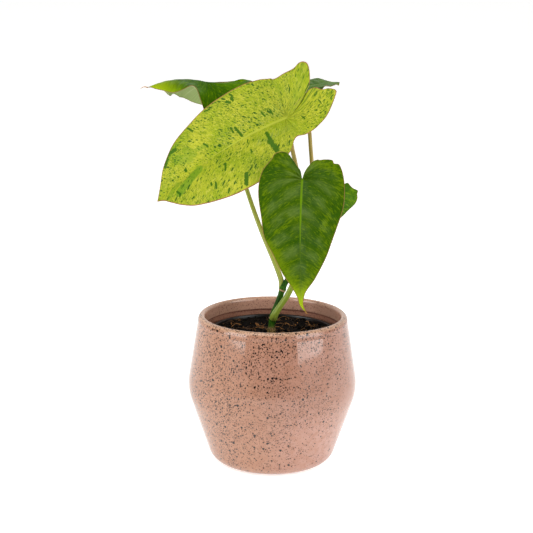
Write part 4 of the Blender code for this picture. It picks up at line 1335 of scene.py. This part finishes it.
def midrib_line(finish, colour, line, wide, narrow, length):
    """Draws the midrib, wide at the stalk and narrow and faint at the tip, on colour."""
    along = finish.value("along")
    width = finish.step(along, 0.0, length, wide, narrow)
    off = finish.maths("DIVIDE", finish.maths("ABSOLUTE", finish.value("across")), width)
    here = finish.maths("MULTIPLY", finish.step(off, 1.3, 0.5), finish.step(along, -0.004, 0.001))
    here = finish.maths("MULTIPLY", here, finish.step(along, length, length * 0.45, 0.25, 1.0))
    return finish.mix(here, colour, line)


def variegated_leaf():
    """Lime and butter yellow in broad patches and fine mottling, greener zones, fine
    hatching, three sizes of green pepper, the listed streaks, the midrib and the edge,
    and a plain paler underside."""
    leaf = Finish("variegated_leaf")
    at = leaf_place(leaf)
    with_veins = vein_place(leaf, LARGE_STYLE["veins"][0])
    broad = leaf.noise(at, 34.0, 3.0, 0.6)
    colour = leaf.mix(leaf.step(broad, 0.36, 0.64), paint("80900F"), paint("9C9F26"))
    mottled = leaf.noise(with_veins, 380.0, 4.0, 0.7, stretch=(1.0, 0.45, 1.0))
    colour = leaf.mix(leaf.step(mottled, 0.46, 0.66, 0.0, 0.75), colour, paint("66790A"))
    pale = leaf.noise(with_veins, 760.0, 3.0, 0.6, stretch=(1.0, 0.4, 1.0))
    colour = leaf.mix(leaf.step(pale, 0.50, 0.70, 0.0, 0.6), colour, paint("B0AC48"))
    greener = leaf.maths("MULTIPLY_ADD", mottled, 1.2, leaf.value("green"))
    colour = leaf.mix(leaf.step(greener, 0.55, 1.05, 0.0, 0.42), colour, paint("4E7A0A"))
    moon = leaf.maths("MULTIPLY_ADD", mottled, 0.35, leaf.value("moon"))
    colour = leaf.mix(leaf.step(moon, 0.10, 0.35, 0.0, 0.75), colour, paint("587E12"))
    hatching = leaf.noise(with_veins, 1100.0, 2.0, 0.6, stretch=(1.0, 0.10, 1.0))
    hatch = leaf.maths("MULTIPLY", leaf.step(hatching, 0.50, 0.62, 0.0, 0.55),
                       leaf.step(leaf.value("hatch"), 0.0, 0.6))
    colour = leaf.mix(hatch, colour, paint("56703A"))
    ragged = leaf.noise(at, 620.0, 3.0, 0.6)

    def pepper(cells, smallest, largest, chance, shift, green, strength):
        """The colour so far with specks of green on it, longer along the veins than
        across, from smallest to largest metres in radius."""
        moved = leaf.add("ShaderNodeMapping", Vector=with_veins, Location=(shift, shift, 0.0),
                         Scale=(1.0, 0.72, 1.0))
        cell = leaf.add("ShaderNodeTexVoronoi", Vector=moved, Scale=cells,
                        settings={"voronoi_dimensions": "2D"}).node
        draw = leaf.add("ShaderNodeSeparateColor", Color=cell.outputs["Color"]).node
        size = leaf.maths("POWER", draw.outputs[0], 2.5)
        radius = leaf.maths("MULTIPLY_ADD", size, (largest - smallest) * cells, smallest * cells)
        uneven = leaf.maths("MULTIPLY_ADD", ragged, 0.5, cell.outputs["Distance"])
        ratio = leaf.maths("DIVIDE", uneven, leaf.maths("ADD", radius, 0.25))
        wanted = leaf.step(leaf.maths("SUBTRACT", chance, draw.outputs[1]), 0.0, 0.05)
        share = leaf.maths("MULTIPLY", leaf.step(ratio, 1.1, 0.85), wanted)
        return leaf.mix(leaf.maths("MULTIPLY", share, strength), colour, green)

    crowd = leaf.step(leaf.noise(at, 26.0, 2.0), 0.34, 0.62, 0.25, 0.95)
    colour = pepper(900.0, 0.00018, 0.00046, crowd, 0.0, paint("40640A"), 0.85)
    colour = pepper(480.0, 0.00025, 0.00085, leaf.maths("MULTIPLY", crowd, 0.85), 0.4,
                    paint("30580A"), 0.9)
    colour = pepper(210.0, 0.00045, 0.0015, leaf.maths("MULTIPLY", crowd, 0.65), 0.7,
                    paint("244C08"), 0.95)
    inside = leaf.maths("MULTIPLY_ADD", leaf.maths("SUBTRACT", ragged, 0.5), 1.8,
                        leaf.value("streak"))
    colour = leaf.mix(leaf.step(inside, -0.05, 0.25, 0.0, 0.95), colour, paint("2E5600"))
    colour = midrib_line(leaf, colour, paint("98A030"), 0.0015, 0.0004, 0.100)
    colour = edge_line(leaf, colour, paint("84503A"), 0.0011)
    below = leaf.mix(leaf.step(broad, 0.4, 0.6), paint("8A9638"), paint("9AA454"))
    vein_light = leaf.step(leaf.value("vein"), 0.0009, 0.0003, 0.0, 0.6)
    below = leaf.mix(vein_light, below, paint("AEB670"))
    colour = leaf.mix(leaf.step(leaf.value("upper"), 0.4, 0.6), below, colour)
    gloss = leaf.maths("MULTIPLY_ADD", mottled, 0.15, 0.38)
    return leaf.set(Base_Color=colour, Roughness=gloss, Normal=leaf_bump(leaf, at, 1500.0),
                    Specular_IOR_Level=0.10)


# Veins are their spacing, lean and arch, and the lobes' fan in degrees.
LARGE_STYLE = dict(lobe_rows=110, ahead_rows=170, columns=52, veins=(0.019, 0.62, 3.0, 26.0),
                   bulge=0.0005, groove=0.00010, swell=0.0008, swell_size=0.030, seed=31,
                   ruffle=0.0003)
leaf_blade("large_leaf_blade", LARGE_LEAF, LARGE_STYLE, variegated_leaf(),
           ("large_variegated_leaf",), LARGE_MARKS)

# %% [markdown]
# ## The green leaves' finish
# The other leaves are plain green with a waxy sheen. In the front one, greyish patches of
# painted sheen lie on the bulges between the veins, for the light that the bulges catch,
# fainter on the others; the drip tip is bright yellow-green, and the midrib is paler. On
# all of them painted shade darkens the grooves beside the side veins. The back leaves are
# darker, with a pale green underside. One function makes all of these from a few colours.

# %% Green finish
def green_leaf(name, tones, midrib, length, spacing, grey, shine, marked=False,
               tip_from=0.72):
    """Green leaf finish: dark and mid green in soft patches, flecked along the veins,
    fresher towards the edge, darker beside the side veins as painted shade in the grooves,
    with a brushed greyish painted sheen on the bulges for the light they catch, a midrib, a
    yellow-green tip, a brownish edge and a paler underside. Grey sets how strong the painted
    sheen is."""
    dark, mid, fresh, painted_sheen_tone, underside, edge = (paint(tone) for tone in tones)
    leaf = Finish(name)
    at = leaf_place(leaf)
    with_veins = vein_place(leaf, spacing)
    broad = leaf.noise(at, 42.0, 3.0, 0.6)
    fine = leaf.noise(with_veins, 620.0, 5.0, 0.75, stretch=(1.0, 0.32, 1.0))
    grain = leaf.noise(at, 1100.0, 3.0, 0.7)
    colour = leaf.mix(leaf.step(broad, 0.36, 0.64), dark, mid)
    count = leaf.value("count")
    place_between = leaf.maths("FRACT", count)
    # Painted shade: the grooves beside the side veins are darkened towards the dark green.
    beside_vein = leaf.maths("ABSOLUTE", leaf.maths("SINE", leaf.maths("MULTIPLY", count, math.pi)))
    colour = leaf.mix(leaf.step(beside_vein, 0.5, 0.1, 0.0, 0.28), colour, dark)
    fresher = leaf.step(leaf.value("edge"), 0.016, 0.001, 0.0, 0.09)
    fresher = leaf.maths("MULTIPLY", fresher, leaf.step(broad, 0.40, 0.62))
    if marked:
        fresher = leaf.maths("ADD", fresher, leaf.step(leaf.value("fresh"), 0.0, 1.0, 0.0, 0.10))
    flecks = leaf.step(leaf.maths("ADD", fine, fresher), 0.50, 0.66)
    colour = leaf.mix(leaf.maths("MULTIPLY", flecks, 0.72), colour, fresh)
    second = leaf.noise(with_veins, 900.0, 4.0, 0.7, stretch=(1.0, 0.4, 1.0))
    dark_flecks = leaf.maths("MULTIPLY", leaf.step(second, 0.52, 0.64), 0.60)
    colour = leaf.mix(dark_flecks, colour, dark)
    # Painted sheen: greyish patches on the bulges between the side veins stand in for the light
    # that the bulges catch; grey sets how strong it is.
    bulges = leaf.maths("MULTIPLY", leaf.step(place_between, 0.10, 0.45),
                        leaf.step(place_between, 0.95, 0.60))
    patchy = leaf.step(leaf.noise(at, 48.0, 2.0, 0.6), 0.40, 0.62)
    patch = leaf.maths("MULTIPLY", leaf.maths("MULTIPLY", bulges, patchy),
                       leaf.step(leaf.value("edge"), 0.002, 0.010))
    patch = leaf.maths("MULTIPLY", patch,
                       leaf.step(leaf.value("along"), length * 0.85, length * 0.6))
    patch = leaf.maths("MULTIPLY", patch, leaf.step(fine, 0.30, 0.62, 0.35, 1.0))
    colour = leaf.mix(leaf.maths("MULTIPLY", patch, grey), colour, painted_sheen_tone)
    colour = leaf.mix(leaf.step(grain, 0.55, 0.75, 0.0, 0.28), colour, fresh)
    tip = leaf.step(leaf.value("along"), length * tip_from, length * 0.97)
    colour = leaf.mix(tip, colour, paint("8A9E10"))
    colour = leaf.mix(leaf.step(leaf.value("along"), length - 0.0045, length - 0.001), colour, edge)
    colour = midrib_line(leaf, colour, paint(midrib), 0.0012, 0.0002, length * 0.7)
    colour = edge_line(leaf, colour, edge, 0.0007)
    vein_light = leaf.step(leaf.value("vein"), 0.0008, 0.0002, 0.0, 0.5)
    small = leaf.step(leaf.maths("SINE", leaf.maths("MULTIPLY", count, 63.0)), 0.2, 0.9, 0.0, 0.25)
    below = leaf.mix(leaf.maths("ADD", vein_light, small), underside, paint("9CA87C"))
    below = edge_line(leaf, below, edge, 0.0007)
    colour = leaf.mix(leaf.step(leaf.value("upper"), 0.4, 0.6), below, colour)
    gloss = leaf.maths("MULTIPLY_ADD", fine, 0.16, 0.30)
    return leaf.set(Base_Color=colour, Roughness=gloss, Normal=leaf_bump(leaf, at, 1600.0),
                    Specular_IOR_Level=shine)


FRONT_MARKS = {"fresh": [(62, -26, 96, -6, 18), (-14, 14, -8, 32, 12), (90, 8, 108, 3, 12),
                         (-14, -16, -4, -10, 8), (30, 26, 44, 20, 10), (34, -6, 48, -20, 8)]}
# Tones: dark, mid and fresh green, the greyish painted sheen, the underside, the edge.
FRONT_TONES = ("244200", "354E00", "5A7000", "566A30", "7A8E50", "70552E")
BACK_TONES = ("284E00", "446A00", "6C8A00", "4C6628", "80905A", "70522E")
FRONT_MIDRIB = "547404"
BACK_MIDRIB = "5C8018"
FRONT_STYLE = dict(lobe_rows=90, ahead_rows=150, columns=44, veins=(0.0175, 0.25, 15.0, 30.0),
                   bulge=0.0014, groove=0.00016, swell=0.0007, swell_size=0.020, seed=41,
                   ruffle=0.0003)
BACK_STYLE = dict(lobe_rows=80, ahead_rows=90, columns=44, veins=(0.0110, 0.45, 9.0, 24.0),
                  bulge=0.0006, groove=0.00010, swell=0.0007, swell_size=0.018, seed=51,
                  ruffle=0.0024)
SMALL_STYLE = dict(lobe_rows=50, ahead_rows=70, columns=30, veins=(0.0080, 0.45, 12.0, 30.0),
                   bulge=0.0006, groove=0.00008, swell=0.0003, swell_size=0.014, seed=61,
                   ruffle=0.0004)
# Grey sets how strongly each leaf's greyish painted sheen is laid on its bulges.
front_skin = green_leaf("front_leaf_green", FRONT_TONES, FRONT_MIDRIB, 0.119, 0.0175,
                        grey=0.52, shine=0.06, marked=True)
back_left_skin = green_leaf("back_left_leaf_green", BACK_TONES, BACK_MIDRIB, 0.059, 0.011,
                            grey=0.05, shine=0.02, tip_from=0.40)
back_right_skin = green_leaf("back_right_leaf_green", BACK_TONES, BACK_MIDRIB, 0.061, 0.011,
                             grey=0.30, shine=0.04)
small_skin = green_leaf("small_leaf_green", BACK_TONES, BACK_MIDRIB, 0.033, 0.008,
                        grey=0.35, shine=0.08)
leaf_blade("front_leaf_blade", FRONT_LEAF, FRONT_STYLE, front_skin,
           ("front_green_leaf",), FRONT_MARKS)
leaf_blade("back_left_leaf_blade", BACK_LEFT_LEAF, BACK_STYLE, back_left_skin,
           ("back_left_leaf",))
leaf_blade("back_right_leaf_blade", BACK_RIGHT_LEAF, dict(BACK_STYLE, seed=71),
           back_right_skin, ("back_right_leaf",))
leaf_blade("small_leaf_blade", SMALL_LEAF, SMALL_STYLE, small_skin,
           ("small_right_leaf",))

# %% [markdown]
# Two drip tips have dried: the back left leaf's to a tan thread, the front one's to a
# small brown hook. Each is a short tube that runs on from the blade's tip, thinner and
# thinner, along steps in millimetres: to the right, back and up.

# %% Dried tips
LEFT_THREAD = [(0, 0, 0), (-1.8, -0.4, 0.6), (-3.6, -0.8, 0.6), (-5.4, -1.1, -0.3),
               (-6.8, -1.4, -1.4)]
FRONT_HOOK = [(0, 0, 0), (0.2, 0, -0.9), (0.6, -0.1, -1.6), (1.3, -0.2, -1.9), (1.9, -0.2, -1.6)]
DRIED_RINGS = 30
DRIED_SIDES = 8


def dried_tip(name, leaf, steps, material):
    """A tube from the blade's tip along the steps, from a radius of 0.5 mm to 0.15 mm."""
    start = bent(leaf, "left", np.array([(leaf["length"] - 1) * MM]), np.array([0.0]))[0]
    path = smooth_line(start + np.array(steps) * MM, DRIED_RINGS)
    radii = np.linspace(0.0005, 0.00015, DRIED_RINGS)
    points, squares = tubes(path[None], radii[None], DRIED_SIDES)
    return make_piece(name, points, squares, material)


dried = Finish("dried_leaf_tip")
dried_tone = dried.noise(dried.place(), 500.0, 2.0)
dried.set(Base_Color=dried.mix(dried_tone, paint("8A5418"), paint("B08038")), Roughness=0.7)
dried_tip("back_left_leaf_dried_tip", BACK_LEFT_LEAF, LEFT_THREAD,
          dried.material)
dried_tip("front_leaf_dried_tip", FRONT_LEAF, FRONT_HOOK, dried.material)

# %% [markdown]
# ## Leaf stalks
# A stalk is a tube that is nearly round, with a shallow groove down its upper side, and
# widens at its foot into a sheath that clasps the stem. It meets the blade's underside
# squarely just ahead of the notch. The two front stalks are yellow-green with fine
# brown lines, and those of the large and the back right leaf are pinkish brown.

# %% Stalks
STALK_RINGS = 160
STALK_SIDES = 28
SEAT_AHEAD = 0.0016
SEAT_GAP = 0.00055
SQUARE_END = 0.006
GROOVE_DEPTH = 0.10
GROOVE_WIDTH = 0.45
# Millimetres: a stalk's radius at foot, middle and top, and its line from foot to leaf.
PETIOLES = {
    "front_green": dict(radius=(3.6, 2.5, 2.1), leaf=FRONT_LEAF, slot="green_petiole_skin", line=[
        (0.6, 1.4, 135.4), (1.6, -1.9, 139.5), (5.9, -3.2, 147.2), (10.0, -4.2, 153.7),
        (13.6, -5.6, 160.0), (17.6, -8.4, 170), (21.6, -13.4, 188), (23.8, -19.4, 212),
        (25.0, -24.2, 238), (25.6, -26.4, 257)]),
    "back_left": dict(radius=(2.8, 2.1, 1.7), leaf=BACK_LEFT_LEAF, slot="green_petiole_skin", line=[
        (8.0, 7.2, 160.5), (7.2, 12.4, 170), (0.1, 19.0, 187.2), (-8.7, 27.0, 206.1),
        (-17.5, 36.0, 227), (-25.1, 45.0, 246.9), (-36.4, 55.6, 279), (-50.0, 66.0, 315)]),
    "small_right": dict(radius=(2.6, 2.1, 1.7), leaf=SMALL_LEAF, slot="brown_petiole_skin", line=[
        (19.0, 10.4, 180.4), (24.2, 7.4, 185), (33.6, 9.6, 196), (42.0, 15.4, 215),
        (47.6, 19.4, 234), (50.0, 20.2, 246)]),
    "large_variegated": dict(radius=(2.6, 2.2, 2.0), leaf=LARGE_LEAF,
                             slot="brown_petiole_skin", line=[
        (24.8, 13.2, 192), (24.4, 9.4, 199), (25.2, 9.6, 214), (25.2, 10.4, 236),
        (22.6, 11.4, 262), (18.9, 12.0, 280.7), (16.3, 12.4, 291.9), (13.8, 13.0, 305)]),
    "back_right": dict(radius=(2.2, 2.0, 1.7), leaf=BACK_RIGHT_LEAF,
                       slot="brown_petiole_skin", line=[
        (29.7, 15.6, 202.8), (31.9, 17.2, 213), (34.6, 19.6, 234), (35.4, 22.6, 258),
        (34.5, 26.0, 276.7), (33.5, 30.0, 288.5), (32.2, 36.0, 304.3), (29.8, 43.6, 321)]),
}


def stalk(name, shape, material):
    """A tube along the stalk's line. Its radius runs from foot to middle to top, a groove
    is pressed into one side, a slight knee swells below the leaf, and the last stretch
    runs squarely up to the blade's underside, as near as the folded blade leaves room."""
    leaf = shape["leaf"]
    ahead, _, upper = leaf_frame(leaf)
    seat = np.array(leaf["base"]) * MM + ahead * SEAT_AHEAD
    roof = max(0.0, -leaf["left"]["rise"], -leaf["right"]["rise"])
    gap = SEAT_GAP + math.tan(math.radians(roof)) * shape["radius"][2] * MM
    end = seat - upper * gap
    line = [*(np.array(shape["line"]) * MM), end - upper * SQUARE_END, end]
    path = smooth_line(line, STALK_RINGS)
    share = np.linspace(0, 1, STALK_RINGS)
    foot, middle, top = (r * MM for r in shape["radius"])
    radius = np.interp(share, [0, 0.05, 0.13, 0.5, 1],
                       [foot, foot * 0.92, middle * 1.12, middle, top])
    angle = np.arange(STALK_SIDES) * 2 * math.pi / STALK_SIDES
    groove = GROOVE_DEPTH * bell(np.mod(angle + math.pi, 2 * math.pi) - math.pi, GROOVE_WIDTH)
    knee = 0.10 * bell(share - 0.97, 0.02)
    radii = radius[:, None] * (1 - groove * np.clip(share / 0.1, 0, 1)[:, None] + knee[:, None])
    points, squares = tubes(path[None], radii[None], STALK_SIDES)
    run = np.repeat(np.concatenate([[0], share, [1]]), STALK_SIDES)
    turn_at = np.tile(angle, len(path) + 2)
    return make_piece(name, points, squares, material,
                      {"run": run, "turn": turn_at}, (name.replace("_stalk", "_petiole"),))


def stalk_finish(name, base, shade, line, line_share):
    """Stalk skin: two tones that change slowly along it, and fine lengthwise lines."""
    skin = Finish(name)
    run, turn_at = skin.value("run"), skin.value("turn")
    around = skin.add("ShaderNodeCombineXYZ", X=skin.maths("COSINE", turn_at),
                      Y=skin.maths("SINE", turn_at), Z=skin.maths("MULTIPLY", run, 2.2))
    slow = skin.noise(around, 1.1, 2.0)
    colour = skin.mix(skin.step(slow, 0.35, 0.65), paint(base), paint(shade))
    streak = skin.noise(around, 6.0, 3.0, 0.65, stretch=(1.0, 1.0, 0.10))
    colour = skin.mix(skin.step(streak, 0.52, 0.68, 0.0, line_share), colour, paint(line))
    ridge = skin.bump(streak, 0.00010)
    return skin.set(Base_Color=colour, Roughness=0.40, Normal=ridge, Specular_IOR_Level=0.3)


green_skins = {
    "front_green": stalk_finish("front_stalk_green", "70822A", "849236", "5A6E18", 0.6),
    "back_left": stalk_finish("back_stalk_green", "7C8A28", "9A9A40", "6A5424", 0.75)}
brown_skin = stalk_finish("stalk_brown", "8A7A38", "9C8C48", "8A5A30", 0.6)
for stalk_name, stalk_shape in PETIOLES.items():
    stalk(stalk_name + "_stalk", stalk_shape, green_skins.get(stalk_name, brown_skin))
